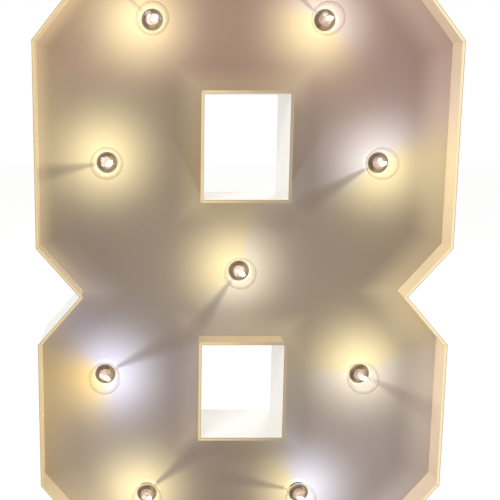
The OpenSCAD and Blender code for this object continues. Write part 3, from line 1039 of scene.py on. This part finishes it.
@dataclass(frozen=True)
class HotCoil(Finish):
    """Glowing filament: white hot in the middle of its run and orange towards its ends."""

    hot: Colour = (1.0, 0.93, 0.78, 1.0)
    ends: Colour = (1.0, 0.55, 0.18, 1.0)
    middle: float = 0.5
    cooling: Pair = (0.38, 0.5)
    fading: Pair = (0.22, 0.5)
    least: float = 0.08
    strength: float = 9.0

    def draw(self, sketch: Sketch) -> Values:
        """Draws the glow by the run of the coil's own UV map.

        Args:
            sketch: Tree to draw in.

        Returns:
            The values of the shader's inputs.
        """
        run = sketch.wrap()[1]
        off_middle = sketch.sums("ABSOLUTE", sketch.sums("SUBTRACT", run, self.middle))
        colour = sketch.blend(sketch.span(off_middle, *self.cooling), self.hot, self.ends)
        bright, dim = self.fading
        level = sketch.span(off_middle, dim, bright, self.least, 1.0)
        return {
            "Base Color": colour,
            "Emission Color": sketch.scaled(colour, level),
            "Emission Strength": self.strength,
        }


@dataclass
class Skin:
    """A closed skin over a stack of rings, as arrays of points, faces and wrap coordinates."""

    points: np.ndarray
    quads: np.ndarray
    triangles: np.ndarray
    quad_wrap: np.ndarray
    triangle_wrap: np.ndarray
    material: int = 0

    @classmethod
    def over(cls, rings: np.ndarray, material: int = 0) -> "Skin":
        """Closes a stack of rings.

        Neighbouring rings are joined by four-sided faces, and each end ring by a fan to its middle. If the
        volume that the faces enclose comes out negative, every face is turned over.

        Args:
            rings: Points as rows, columns and coordinates, each row a closed ring.
            material: Number of the material on the skin.

        Returns:
            The skin, with faces that point outwards.
        """
        rows, columns = rings.shape[:2]
        points = np.concatenate([rings.reshape(-1, 3), rings[[0, -1]].mean(axis=1)])
        row, col = np.meshgrid(np.arange(rows - 1), np.arange(columns), indexing="ij")
        corners = [(row, col), (row, col + 1), (row + 1, col + 1), (row + 1, col)]
        quads = np.stack([r * columns + c % columns for r, c in corners], axis=-1).reshape(-1, 4)
        quad_wrap = np.stack([np.stack([c / columns, r / (rows - 1)], -1) for r, c in corners], axis=-2)
        fan = np.arange(columns)
        after = (fan + 1) % columns
        last = (rows - 1) * columns
        first_fan = np.stack([after, fan, np.full(columns, rows * columns)], -1)
        last_fan = np.stack([last + fan, last + after, np.full(columns, rows * columns + 1)], -1)
        turn = np.stack([fan, fan + 1, fan + 0.5], -1) / columns
        run = np.repeat([0.0, 1.0], columns)[:, None] * np.ones((1, 3))
        triangle_wrap = np.stack([np.concatenate([turn, turn]), run], -1)
        triangles = np.concatenate([first_fan, last_fan])
        made = cls(points, quads, triangles, quad_wrap.reshape(-1, 4, 2), triangle_wrap, material)
        return made if made.volume() > 0 else made.turned_over()

    def volume(self) -> float:
        """Works out the volume inside, as the sum of the faces' cones from the skin's first point.

        Returns:
            The volume, negative where the faces point inwards.
        """
        at = self.points - self.points[0]
        split = np.concatenate([self.quads[:, [0, 1, 2]], self.quads[:, [0, 2, 3]], self.triangles])
        first, second, third = (at[split[:, corner]] for corner in range(3))
        return float(np.einsum("ij,ij->i", first, np.cross(second, third)).sum() / 6)

    def turned_over(self) -> "Skin":
        """Returns the same skin with every face the other way round."""
        parts = (self.quads, self.triangles, self.quad_wrap, self.triangle_wrap)
        return Skin(self.points, *(part[:, ::-1] for part in parts), self.material)

    def faces(self) -> tuple[tuple[np.ndarray, np.ndarray], ...]:
        """Returns the four-sided faces and then the triangles, each kind with its wrap coordinates."""
        return (self.quads, self.quad_wrap), (self.triangles, self.triangle_wrap)


def put_mesh(name: str, skins: list[Skin], materials: list[bpy.types.Material]) -> bpy.types.Object:
    """Puts skins into one mesh.

    Args:
        name: Name of the piece.
        skins: Its skins, each with the number of its material.
        materials: The piece's materials.

    Returns:
        The piece, at the origin with its place in its mesh.
    """
    points = np.concatenate([skin.points for skin in skins])
    starts = np.cumsum([0] + [len(skin.points) for skin in skins])
    kinds = [(skin, start, *kind) for skin, start in zip(skins, starts) for kind in skin.faces()]
    corners = np.concatenate([(faces + start).ravel() for _, start, faces, _ in kinds])
    wraps = np.concatenate([wrap.ravel() for *_, wrap in kinds])
    sides = np.concatenate([np.full(len(faces), faces.shape[1]) for _, _, faces, _ in kinds])
    numbers = np.concatenate([np.full(len(faces), skin.material) for skin, _, faces, _ in kinds])
    face_starts = np.cumsum(sides) - sides
    mesh = bpy.data.meshes.new(name)
    mesh.vertices.add(len(points))
    mesh.vertices.foreach_set("co", points.astype(np.float32).ravel())
    mesh.loops.add(len(corners))
    mesh.loops.foreach_set("vertex_index", corners.astype(np.int32))
    mesh.polygons.add(len(sides))
    mesh.polygons.foreach_set("loop_start", face_starts.astype(np.int32))
    mesh.polygons.foreach_set("material_index", numbers.astype(np.int32))
    mesh.uv_layers.new(name="Wrap").data.foreach_set("uv", wraps.astype(np.float32))
    mesh.update(calc_edges=True)
    mesh.validate()
    mesh.polygons.foreach_set("use_smooth", np.ones(len(sides), bool))
    mesh.set_sharp_from_angle(angle=SHARP_ANGLE)
    for material in materials:
        mesh.materials.append(material)
    return put_object(name, mesh)


def put_object(name: str, data: bpy.types.ID) -> bpy.types.Object:
    """Puts a new object into the scene.

    Args:
        name: Its name.
        data: Its mesh, lamp or camera.

    Returns:
        The object, at the origin.
    """
    made = bpy.data.objects.new(name, data)
    bpy.context.scene.collection.objects.link(made)
    return made


def ring(columns: int) -> np.ndarray:
    """Returns the angles of a ring's points, which divide one full turn evenly."""
    return np.linspace(0.0, 2 * np.pi, columns, endpoint=False)


def lathe(profile: np.ndarray, columns: int = 64) -> np.ndarray:
    """Turns a profile about the axis: each of its points, a radius and a height, becomes a ring of points.

    Args:
        profile: Radii and heights as rows.
        columns: Points in a ring.

    Returns:
        The rings as rows, columns and coordinates.
    """
    turn = ring(columns)
    radius = profile[:, :1]
    height = np.broadcast_to(profile[:, 1:], (len(profile), columns))
    return np.stack([radius * np.cos(turn), radius * np.sin(turn), height], axis=-1)


def tube(path: np.ndarray, radius: float, guide: Vector3, columns: int = 12) -> np.ndarray:
    """Carries a circle along a path: at each point it lies square to the path, turned by a guide direction.

    Args:
        path: Points of the path as rows.
        radius: Radius of the circle.
        guide: Direction that is never along the path.
        columns: Points in a ring.

    Returns:
        The rings as rows, columns and coordinates.
    """
    along = np.gradient(path, axis=0)
    along /= np.linalg.norm(along, axis=1, keepdims=True)
    side = np.cross(along, guide)
    side /= np.linalg.norm(side, axis=1, keepdims=True)
    other = np.cross(along, side)
    turn = ring(columns)[None, :, None]
    return path[:, None, :] + radius * (np.cos(turn) * side[:, None, :] + np.sin(turn) * other[:, None, :])


def arc(centre: Pair, radius: float, start: float, end: float, count: int) -> np.ndarray:
    """Returns points of an arc in a profile's plane, from one angle to another in degrees."""
    angle = np.radians(np.linspace(start, end, count))
    return np.stack([centre[0] + radius * np.cos(angle), centre[1] + radius * np.sin(angle)], -1)


@dataclass
class BulbFinishes:
    """The materials of a bulb's pieces, shared by all nine."""

    glass: bpy.types.Material
    cap: bpy.types.Material
    insulator: bpy.types.Material
    solder: bpy.types.Material
    shield: bpy.types.Material
    stem: bpy.types.Material
    wire: bpy.types.Material
    coil: bpy.types.Material


@dataclass
class Bulb:
    """One clear globe bulb. Its own axis starts at the cap's rim and points forwards, out of the sign."""

    number: int
    filament_turn: float
    filament_x: float
    throw: Throw
    neck_r: float = 13.0 * MM
    neck_h: float = 0.6 * MM
    wall: float = 0.8 * MM
    fillet_r: float = 6.0 * MM
    tip_angle: float = 0.4
    cap_len: float = 22.0 * MM
    collar_h: float = 1.5 * MM
    thread_pitch: float = 3.6 * MM
    thread_depth: float = 0.42 * MM
    thread_fade: float = 2.0 * MM
    insulator_h: float = 4.0 * MM
    insulator_line: tuple[Pair, ...] = ((1.6 * MM, -0.2 * MM), (2.0 * MM, 0.5 * MM), (4.5 * MM, 2.4 * MM))
    overlap: float = 0.3 * MM
    tip_r: float = 5.0 * MM
    tip_h: float = 1.5 * MM
    tip_line: tuple[Pair, ...] = ((1.0, 0.5), (0.75, 0.92), (0.2, 1.0))
    shield_r: float = 9.0 * MM
    shield_h: float = 9.0 * MM
    shield_edge: float = 0.9 * MM
    shield_gap: float = 0.1 * MM
    flare_r: float = 12.1 * MM
    flare_edge: float = 0.4 * MM
    dish_depth: float = 1.2 * MM
    dish_end: float = 0.3 * MM
    stem_r: float = 3.6 * MM
    stem_gap: float = 8.0 * MM
    stem_line: tuple[Pair, ...] = ((1.0, -1.2), (0.8, -0.5), (0.4, 0.0))
    wire_r: float = 0.5 * MM
    knee_drop: float = 3.0 * MM
    filament_half: float = 5.6 * MM
    coil_r: float = 2.3 * MM
    coil_wire_r: float = 0.6 * MM
    coil_turns: int = 9
    coil_steps: int = 28
    lamp_watts: float = 0.02
    lamp_r: float = 3.0 * MM
    lamp_colour: Vector3 = (1.0, 0.86, 0.62)
    pieces: list[bpy.types.Object] = field(default_factory=list)

    @property
    def body(self) -> str:
        """Name of the body that the bulb rides on."""
        return f"bulb_{self.number}"

    @property
    def rim(self) -> np.ndarray:
        """Middle of the cap's rim, in the part's frame."""
        low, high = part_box(f"{self.body}_cap")
        return np.array([(low.x + high.x) / 2, low.y, (low.z + high.z) / 2])

    @property
    def globe_r(self) -> float:
        """Radius of the globe, half the glass solid's width."""
        low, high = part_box(f"{self.body}_globe")
        return float(high.x - low.x) / 2

    @property
    def centre_height(self) -> float:
        """Height of the globe's centre above the cap's rim."""
        low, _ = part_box(f"{self.body}_globe")
        return float(self.rim[1] - low.y) - self.globe_r

    @property
    def centre(self) -> Vector3:
        """The globe's centre, where the filament glows."""
        x, y, z = self.rim
        return float(x), float(y - self.centre_height), float(z)

    @property
    def stem_head(self) -> float:
        """Height of the glass stem's upper end above the cap's rim."""
        return self.centre_height - self.stem_gap

    def light(self) -> BulbLight:
        """Returns the place that the bulb's light comes from, and how it is thrown."""
        return BulbLight(self.centre, self.throw)

    def placed(self, rings: np.ndarray) -> np.ndarray:
        """Stands rings of the bulb's own axes on the sign: across, up and forwards from the cap's rim."""
        across, up, forwards = rings[..., 0], rings[..., 1], rings[..., 2]
        return self.rim + np.stack([across, -forwards, up], axis=-1)

    def turned(self, points: np.ndarray) -> np.ndarray:
        """Turns points about the bulb's axis by the filament's turn, and shifts them to one side.

        The shift is the filament's own, times the fourth power of the point's height over the centre's height.

        Args:
            points: Points in the bulb's own axes, in an array of any shape.

        Returns:
            The points in their new places.
        """
        angle = math.radians(self.filament_turn)
        lean = self.filament_x * np.clip(points[..., 2] / self.centre_height, 0, 1) ** 4
        across = lean + points[..., 0] * math.cos(angle) - points[..., 1] * math.sin(angle)
        up = points[..., 0] * math.sin(angle) + points[..., 1] * math.cos(angle)
        return np.stack([across, up, points[..., 2]], axis=-1)

    def glass_profile(self, inset: float) -> np.ndarray:
        """Draws half of the glass's section, from the globe's tip back to the rim.

        A globe arc meets a fillet arc on the line between their centres, and the fillet meets the neck.

        Args:
            inset: How far the line lies inside the outer face.

        Returns:
            Radii and heights as rows.
        """
        fillet_x = self.neck_r + self.fillet_r
        drop = math.sqrt((self.globe_r + self.fillet_r) ** 2 - fillet_x**2)
        lean = math.degrees(math.atan2(drop, fillet_x))
        globe = arc((0.0, self.centre_height), self.globe_r - inset, 90.0 - self.tip_angle, -lean, 56)
        fillet = arc((fillet_x, self.centre_height - drop), self.fillet_r + inset, 180.0 - lean, 180.0, 10)
        neck = np.array([[self.neck_r - inset, self.neck_h], [self.neck_r - inset, 0.0]])
        return np.concatenate([globe, fillet[1:], neck])

    def build_globe(self, finishes: BulbFinishes) -> bpy.types.Object:
        """Builds the glass: its outer face from tip to rim and its inner face back again, as one closed skin.

        Args:
            finishes: The bulb's materials.

        Returns:
            The piece.
        """
        outer = self.glass_profile(0.0)
        inner = self.glass_profile(self.wall)[::-1]
        skin = Skin.over(self.placed(lathe(np.concatenate([outer, inner]), 72)))
        piece = put_mesh(f"{self.body}_glass", [skin], [finishes.glass])
        piece.visible_shadow = False
        return piece

    def thread_rings(self, columns: int) -> np.ndarray:
        """Draws the cap's shell.

        Its radius is its mean plus the thread's depth times the sine of the turn and of the height over the
        pitch, faded out at both ends. At the rim it widens to the neck's radius.

        Args:
            columns: Points in a ring.

        Returns:
            The rings as rows, columns and coordinates.
        """
        turn = ring(columns)[None, :]
        height = np.linspace(0.0, -self.cap_len, 120)[:, None]
        below_collar = np.clip((-height - self.collar_h) / self.thread_fade, 0, 1)
        fade = below_collar * np.clip((height + self.cap_len) / self.thread_fade, 0, 1)
        wave = np.sin(turn - 2 * np.pi * height / self.thread_pitch)
        widened = (1 - fade) * np.clip(1 + height / self.thread_fade, 0, 1)
        radius = self.neck_r - self.thread_depth + self.thread_depth * (fade * wave + widened)
        return np.stack([radius * np.cos(turn), radius * np.sin(turn), height + 0 * turn], axis=-1)

    def build_cap(self, finishes: BulbFinishes) -> bpy.types.Object:
        """Builds the screw cap: its threaded shell, a black glass cone and a soldered tip, both turned.

        Args:
            finishes: The bulb's materials.

        Returns:
            The piece.
        """
        columns = 64
        foot = -self.cap_len
        cone_foot = foot - self.insulator_h
        cone = np.array([self.neck_r, foot]) - np.array(self.insulator_line)
        cone = np.vstack([cone, (self.tip_r + self.overlap, cone_foot)])
        tip = np.array([0.0, cone_foot]) + np.array(self.tip_line) * (self.tip_r, -self.tip_h)
        tip = np.vstack([(self.tip_r, cone_foot + self.overlap), tip])
        shapes = (self.thread_rings(columns), lathe(cone, columns), lathe(tip, columns))
        skins = [Skin.over(self.placed(rings), number) for number, rings in enumerate(shapes)]
        return put_mesh(f"{self.body}_screw_cap", skins, [finishes.cap, finishes.insulator, finishes.solder])

    def shield_profile(self) -> np.ndarray:
        """Draws half of the heat shield's section, from under its flare to the middle of its dish.

        A straight side leans in from the flare, an arc rounds the edge, and the dish is a parabola, deepest
        in the middle.

        Returns:
            Radii and heights as rows.
        """
        edge = self.shield_edge
        slope = math.degrees(math.atan2(self.shield_h, self.flare_r - self.shield_r))
        base_r = np.array([0.5 * self.flare_r, self.flare_r - self.flare_edge])
        base = np.stack([base_r, np.full(2, self.shield_gap)], -1)
        side = np.linspace((self.flare_r, 2 * self.shield_gap), (self.shield_r, self.shield_h - edge), 8)
        corner = arc((self.shield_r - edge, self.shield_h - edge), edge, slope - 60.0, 90.0, 6)
        dish_r = np.linspace(self.shield_r - 1.6 * edge, self.dish_end, 10)
        dish_h = self.shield_h - self.dish_depth * (1 - (dish_r / self.shield_r) ** 2)
        return np.concatenate([base, side, corner, np.stack([dish_r, dish_h], -1)])

    def stem_profile(self) -> np.ndarray:
        """Returns half of the stem's section as radii and heights: straight, then drawn in at its head."""
        head = np.array([0.0, self.stem_head]) + self.stem_r * np.array(self.stem_line)
        return np.vstack([(self.stem_r, 0.5 * self.shield_h), head])

    def wire_path(self, hand: float) -> np.ndarray:
        """Draws a lead wire's middle line, a quadratic curve from the stem over a knee to the filament's end.

        Args:
            hand: -1 for the wire on the left, 1 for the one on the right, before the filament's turn.

        Returns:
            Points as rows.
        """
        root = np.array([hand * 0.3 * self.stem_r, 0.0, self.stem_head - 0.8 * self.stem_r])
        knee = np.array([hand * 0.8 * self.filament_half, 0.0, self.centre_height - self.knee_drop])
        end = np.array([hand * self.filament_half, 0.0, self.centre_height])
        step = np.linspace(0.0, 1.0, 12)[:, None]
        return (1 - step) ** 2 * root + 2 * step * (1 - step) * knee + step**2 * end

    def build_mount(self, finishes: BulbFinishes) -> bpy.types.Object:
        """Builds what stands in the neck: a dished heat shield, the glass stem and two leaning wires.

        Args:
            finishes: The bulb's materials.

        Returns:
            The piece.
        """
        skins = [
            Skin.over(self.placed(lathe(self.shield_profile(), 64)), 0),
            Skin.over(self.placed(lathe(self.stem_profile(), 32)), 1),
        ]
        for hand in (-1.0, 1.0):
            rings = tube(self.wire_path(hand), self.wire_r, (0.0, 1.0, 0.0))
            skins.append(Skin.over(self.placed(self.turned(rings)), 2))
        return put_mesh(f"{self.body}_stem", skins, [finishes.shield, finishes.stem, finishes.wire])

    def build_coil(self, finishes: BulbFinishes) -> bpy.types.Object:
        """Builds the filament: a wire that winds about the cross line between the two wires' ends.

        The winding's radius is a quarter of its greatest one at the ends, and swells as a sine to the middle.

        Args:
            finishes: The bulb's materials.

        Returns:
            The piece.
        """
        step = np.linspace(0.0, 1.0, self.coil_steps * self.coil_turns)
        angle = 2 * np.pi * self.coil_turns * step
        swell = self.coil_r * (0.25 + 0.75 * np.sin(np.pi * step))
        across = (2 * step - 1) * self.filament_half
        path = np.stack([across, swell * np.cos(angle), self.centre_height + swell * np.sin(angle)], -1)
        rings = tube(path, self.coil_wire_r, (1.0, 0.0, 0.0), 8)
        skin = Skin.over(self.placed(self.turned(rings)))
        piece = put_mesh(f"{self.body}_coil", [skin], [finishes.coil])
        piece.visible_diffuse = False
        piece.visible_shadow = False
        return piece

    def add_lamp(self) -> None:
        """Adds the small lamp that stands for the filament's light, and rides with the bulb."""
        data = bpy.data.lights.new(f"{self.body}_lamp", "POINT")
        data.energy = self.lamp_watts
        data.color = self.lamp_colour
        data.shadow_soft_size = self.lamp_r
        lamp = put_object(f"{self.body}_lamp", data)
        lamp.location = self.centre
        lamp.visible_camera = False
        lamp.visible_transmission = False
        lamp.parent = frame["bodies"][self.body]

    def build(self, finishes: BulbFinishes) -> None:
        """Builds the bulb's pieces, sets each on its body, hides the solids that they stand in for, and adds
        its lamp.

        Args:
            finishes: The bulb's materials.
        """
        made = (
            (self.build_globe(finishes), Slot.GLASS, "globe"),
            (self.build_cap(finishes), Slot.CAP, "cap"),
            (self.build_mount(finishes), Slot.STEM, "mount"),
        )
        for piece, slot, part in made:
            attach(piece, self.body)
            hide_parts(f"{self.body}_{part}")
            self.pieces.append(piece)
        coil = self.build_coil(finishes)
        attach(coil, self.body)
        self.pieces.append(coil)
        self.add_lamp()
        for piece in self.pieces:
            LOG.info("built %s", piece.name)


def dress_node(node: str, material: bpy.types.Material) -> None:
    """Puts one material on a solid's node, in place of the plain one.

    Args:
        node: Name of the node.
        material: Its new material.
    """
    data = frame["nodes"][node].data
    data.materials.clear()
    data.materials.append(material)
    LOG.info("finished %s with %s", node, material.name)


@dataclass
class Tray:
    """The folded sheet that shows: the face panel, and the return strips round the lobes and the windows."""

    lighting: Lighting
    paint: Enamel
    face: str = "face_panel"
    strips: tuple[str, ...] = ("return_upper", "return_lower")
    outline: Outline = field(default_factory=Outline)
    windows: dict[str, Window] = field(
        default_factory=lambda: {
            "window_return_lower": Window(middle_z=0.275, half_w=0.0585, half_h=0.069),
            "window_return_upper": Window(middle_z=0.622, half_w=0.0585, half_h=0.072),
        }
    )
    shaded_window: str = "window_return_upper"
    shading_bulb: int = 4
    half_w: float = 0.29

    def nodes(self) -> set[str]:
        """Returns the names of the nodes that the tray paints."""
        return {self.face, *self.strips, *self.windows}

    def dress(self) -> None:
        """Paints the face, the strips and the windows' walls."""
        shade = WindowShade(self.windows[self.shaded_window], self.lighting.bulbs[self.shading_bulb])
        face = FaceEnamel(self.paint, self.lighting, self.outline, tuple(self.windows.values()), shade)
        dress_node(self.face, face.make("face_enamel"))
        # Painted light on the outline's lips: lighter on the right.
        strip_paint = FoldedEnamel(
            self.outline,
            self.paint,
            self.lighting,
            lip_left=ink(223, 200, 153),
            lip_right=ink(252, 234, 190),
            half_w=self.half_w,
        )
        strip_enamel = strip_paint.make("strip_enamel")
        for node in self.strips:
            dress_node(node, strip_enamel)
        for node, window in self.windows.items():
            # Painted light and shade on the windows' walls: lips lighter on the left, inner walls darker and
            # warmer than the white paint.
            walls = FoldedEnamel(
                window,
                self.paint,
                self.lighting,
                lip_left=ink(230, 206, 157),
                lip_right=ink(180, 160, 134),
                half_w=window.half_w,
                wall=ink(214, 191, 148),
                wall_cloud=ink(204, 181, 140),
                wall_light=0.25,
            )
            dress_node(node, walls.make(f"{node}_enamel"))


@dataclass
class Fittings:
    """The pieces that keep their solids' shapes, each with the finish of its slot."""

    finishes: dict[Slot, bpy.types.Material]

    def dress(self, done: set[str]) -> None:
        """Finishes each node by its slot.

        Args:
            done: Nodes that have a finish of their own already.
        """
        slots = {part["node"]: part["material_slot"] for part in frame["record"]["subparts"]}
        for node in sorted(frame["nodes"]):
            if node not in done:
                dress_node(node, self.finishes[Slot(slots[node])])


@dataclass(frozen=True)
class Softbox:
    """A square soft lamp that faces the object's middle."""

    name: str
    at: Vector3
    size: float
    watts: float
    look: Vector3 = (0.0, 0.0, 0.45)
    colour: Vector3 = (1.0, 0.98, 0.95)

    def add(self) -> None:
        """Adds the lamp to the scene."""
        data = bpy.data.lights.new(self.name, "AREA")
        data.shape = "SQUARE"
        data.size = self.size
        data.energy = self.watts
        data.color = self.colour
        ahead = np.subtract(self.look, self.at)
        ahead /= np.linalg.norm(ahead)
        side = np.cross(ahead, (0.0, 0.0, 1.0))
        side /= np.linalg.norm(side)
        turned = np.stack([side, np.cross(side, ahead), -ahead], axis=1)
        lamp = put_object(self.name, data)
        lamp.matrix_world = Matrix.Translation(self.at) @ Matrix(turned.tolist()).to_4x4()


@dataclass
class Studio:
    """Pale floor, even soft light and the camera."""

    floor_half: float = 9.0
    floor_colour: Colour = (0.92, 0.92, 0.92, 1.0)
    floor_white: float = 0.86
    floor_level: float = 1.05
    world_colour: Colour = (1.0, 0.985, 0.96, 1.0)
    world_level: float = 0.62
    lamps: tuple[Softbox, ...] = (
        Softbox("key", (-1.6, -2.6, 2.2), 1.8, 52.0),
        Softbox("back", (1.4, 2.6, 1.9), 1.8, 36.4),
        Softbox("glint", (2.0, -1.5, 0.5), 0.3, 3.0),
    )
    lens: float = 61.17
    sensor: float = 36.0
    shift_x: float = 0.195
    eye: Vector3 = (-0.1379, -1.2220, 0.6728)
    tilt: float = 9.402
    yaw: float = -0.463

    def set_world(self) -> None:
        """Sets a plain white surround that lights at one level, and shows white behind the object."""
        world = bpy.data.worlds.new("studio")
        world.use_nodes = True
        world.node_tree.nodes.clear()
        sketch = Sketch(world.node_tree)
        lit = sketch.node("ShaderNodeBackground", {"Color": self.world_colour, "Strength": self.world_level})
        seen = sketch.node("ShaderNodeBackground", {"Color": WHITE})
        sketch.node("ShaderNodeOutputWorld", {"Surface": sketch.mixed(sketch.looked_at(), lit, seen)})
        bpy.context.scene.world = world

    def floor_material(self) -> bpy.types.Material:
        """Makes the floor's white, which is mostly plain white where it is looked at, and keeps the shadow.

        Returns:
            The material.
        """
        material = bpy.data.materials.new("floor_white")
        material.use_nodes = True
        material.node_tree.nodes.clear()
        sketch = Sketch(material.node_tree)
        paper = sketch.node("ShaderNodeBsdfDiffuse", {"Color": self.floor_colour})
        white = sketch.node("ShaderNodeEmission", {"Strength": self.floor_level})
        share = sketch.product(sketch.looked_at(), self.floor_white)
        sketch.node("ShaderNodeOutputMaterial", {"Surface": sketch.mixed(share, paper, white)})
        return material

    def build_floor(self) -> None:
        """Lays a flat white sheet under the object."""
        half = self.floor_half
        corners = [(-half, -half, 0), (half, -half, 0), (half, half, 0), (-half, half, 0)]
        mesh = bpy.data.meshes.new("floor")
        mesh.from_pydata(corners, [], [(0, 1, 2, 3)])
        mesh.materials.append(self.floor_material())
        floor = put_object("floor", mesh)

    def add_camera(self) -> None:
        """Sets the camera at the photograph's viewpoint, looking down a little, with its picture shifted."""
        tilt = math.radians(self.tilt)
        yaw = math.radians(self.yaw)
        tilted = np.array(
            [[1, 0, 0], [0, math.cos(tilt), -math.sin(tilt)], [0, math.sin(tilt), math.cos(tilt)]]
        )
        turned = np.array(
            [[math.cos(yaw), 0, math.sin(yaw)], [0, 1, 0], [-math.sin(yaw), 0, math.cos(yaw)]]
        )
        upright = np.array([[1, 0, 0], [0, 0, -1], [0, 1, 0]])
        seen = np.diag([1.0, -1.0, -1.0]) @ turned @ tilted @ upright
        data = bpy.data.cameras.new("camera")
        data.sensor_width = self.sensor
        data.lens = self.lens
        data.shift_x = self.shift_x
        camera = put_object("camera", data)
        camera.matrix_world = Matrix.Translation(self.eye) @ Matrix(seen.T.tolist()).to_4x4()
        bpy.context.scene.camera = camera

    def build(self) -> None:
        """Sets the world, the floor, the lamps and the camera."""
        self.set_world()
        self.build_floor()
        for lamp in self.lamps:
            lamp.add()
        self.add_camera()
        bpy.context.scene.view_settings.view_transform = "Standard"


def make_bulbs() -> list[Bulb]:
    """Lists the nine bulbs, from the foot up and left before right.

    Returns:
        The bulbs, each with its filament's turn and place to the side, and with its own throw of light.
    """
    orange_side = WarmSide(205.0, 0.0, middle=0.5, warm=ORANGE, cool=BLUISH)
    filaments_and_throws = (
        (60.0, 3 * MM, Throw(WarmSide(180.0, 1.0), Streak(40.0, 13.0, 0.35), 0.11, lean_x=-10 * MM)),
        (160.0, 1 * MM, Throw(WarmSide(200.0, 0.1, cool=BLUISH), Streak(169.0, 10.0, 0.45), 0.11, 7 * MM)),
        (150.0, 3 * MM, Throw(orange_side, Streak(26.0, 13.0, 0.45), 0.16, 4 * MM, -2 * MM)),
        (170.0, 1 * MM, Throw(WarmSide(100.0, 0.45), Streak(332.0, 12.0, 0.55), 0.18, lean_z=10 * MM)),
        (145.0, 2 * MM, Throw(WarmSide(150.0, 0.55), Streak(236.0, 11.0, 0.48), 0.15, -7 * MM, 3 * MM)),
        (40.0, 4 * MM, Throw(WarmSide(90.0, 1.0), Streak(190.0, 12.0, 0.50), 0.15, -5 * MM, 8 * MM)),
        (12.0, 1 * MM, Throw(WarmSide(305.0, 0.05), Streak(211.0, 11.0, 0.45), 0.16, 4 * MM, -3 * MM)),
        (35.0, 3 * MM, Throw(WarmSide(200.0, 1.0), Streak(137.0, 7.0, 0.65), 0.11, lean_x=-16 * MM)),
        (8.0, 2 * MM, Throw(WarmSide(235.0, 0.3), Streak(137.0, 8.0, 0.50), 0.09, -9 * MM, -4 * MM)),
    )
    return [Bulb(number, *values) for number, values in enumerate(filaments_and_throws, start=1)]


def make_slot_finishes(paint: Enamel, lighting: Lighting) -> dict[Slot, bpy.types.Material]:
    """Makes one finished material for each slot of the record.

    Args:
        paint: The sheet's white paint.
        lighting: The bulbs' glow.

    Returns:
        The materials by their slots.
    """
    # The holders' white porcelain is painted greige as painted shade; the bulbs' glow is added on top.
    porcelain = Plastic(ink(182, 171, 150), ink(170, 158, 136), (0.14, 0.26), Relief(0.05))
    finishes = {
        Slot.SHEET: paint,
        Slot.STEEL: Metal(ink(186, 184, 178), ink(150, 147, 140), (0.28, 0.45)),
        Slot.HOLDER: LitPorcelain(porcelain, lighting),
        Slot.BRASS: Metal(ink(206, 166, 92), ink(168, 128, 66), (0.22, 0.4)),
        Slot.SWITCH: Plastic(ink(30, 29, 28), ink(48, 46, 44), (0.42, 0.58), Relief(0.35)),
        Slot.ROCKER: Plastic(ink(24, 23, 22), ink(40, 38, 36), (0.18, 0.3), Relief(0.08)),
        Slot.GLAND: Plastic(ink(38, 37, 36), ink(54, 52, 50), (0.46, 0.62), Relief(0.4)),
        Slot.BLOCK: Plastic(ink(228, 224, 212), ink(214, 208, 194), (0.35, 0.5), Relief(0.2)),
        Slot.CABLE: Plastic(ink(230, 228, 220), ink(216, 212, 202), (0.4, 0.55), Relief(0.15)),
        Slot.EARTH: Plastic(ink(122, 158, 52), ink(196, 188, 58), (0.4, 0.55), Relief(0.15)),
        Slot.GLASS: ClearGlass(),
        Slot.CAP: Metal(ink(206, 202, 194), ink(176, 170, 160), (0.18, 0.34)),
        Slot.STEM: ClearGlass(),
    }
    return {slot: finish.make(slot.value) for slot, finish in finishes.items()}


def make_bulb_finishes(by_slot: dict[Slot, bpy.types.Material]) -> BulbFinishes:
    """Makes the materials of the bulbs' pieces.

    Args:
        by_slot: The materials of the slots, of which the bulbs use three.

    Returns:
        The bulbs' materials.
    """
    insulator = Plastic(ink(26, 24, 24), ink(44, 40, 40), (0.12, 0.25), Relief(0.05))
    solder = Metal(ink(190, 188, 184), ink(150, 148, 144), (0.3, 0.5))
    wire = Metal(ink(150, 140, 130), ink(110, 100, 92), (0.25, 0.4))
    return BulbFinishes(
        glass=by_slot[Slot.GLASS],
        cap=by_slot[Slot.CAP],
        insulator=insulator.make("cap_insulator"),
        solder=solder.make("cap_solder"),
        shield=ShieldMetal().make("heat_shield"),
        stem=by_slot[Slot.STEM],
        wire=wire.make("lead_wire"),
        coil=HotCoil().make("hot_coil"),
    )


def main() -> None:
    """Builds the studio, dresses the tray and its fittings, and builds the bulbs."""
    logging.basicConfig(level=logging.INFO, format="%(name)s: %(message)s")
    Studio().build()
    paint = Enamel()
    bulbs = make_bulbs()
    lighting = Lighting(tuple(bulb.light() for bulb in bulbs))
    tray = Tray(lighting, paint)
    tray.dress()
    by_slot = make_slot_finishes(paint, lighting)
    Fittings(by_slot).dress(tray.nodes())
    finishes = make_bulb_finishes(by_slot)
    for bulb in bulbs:
        bulb.build(finishes)


if __name__ == "__main__":
    main()
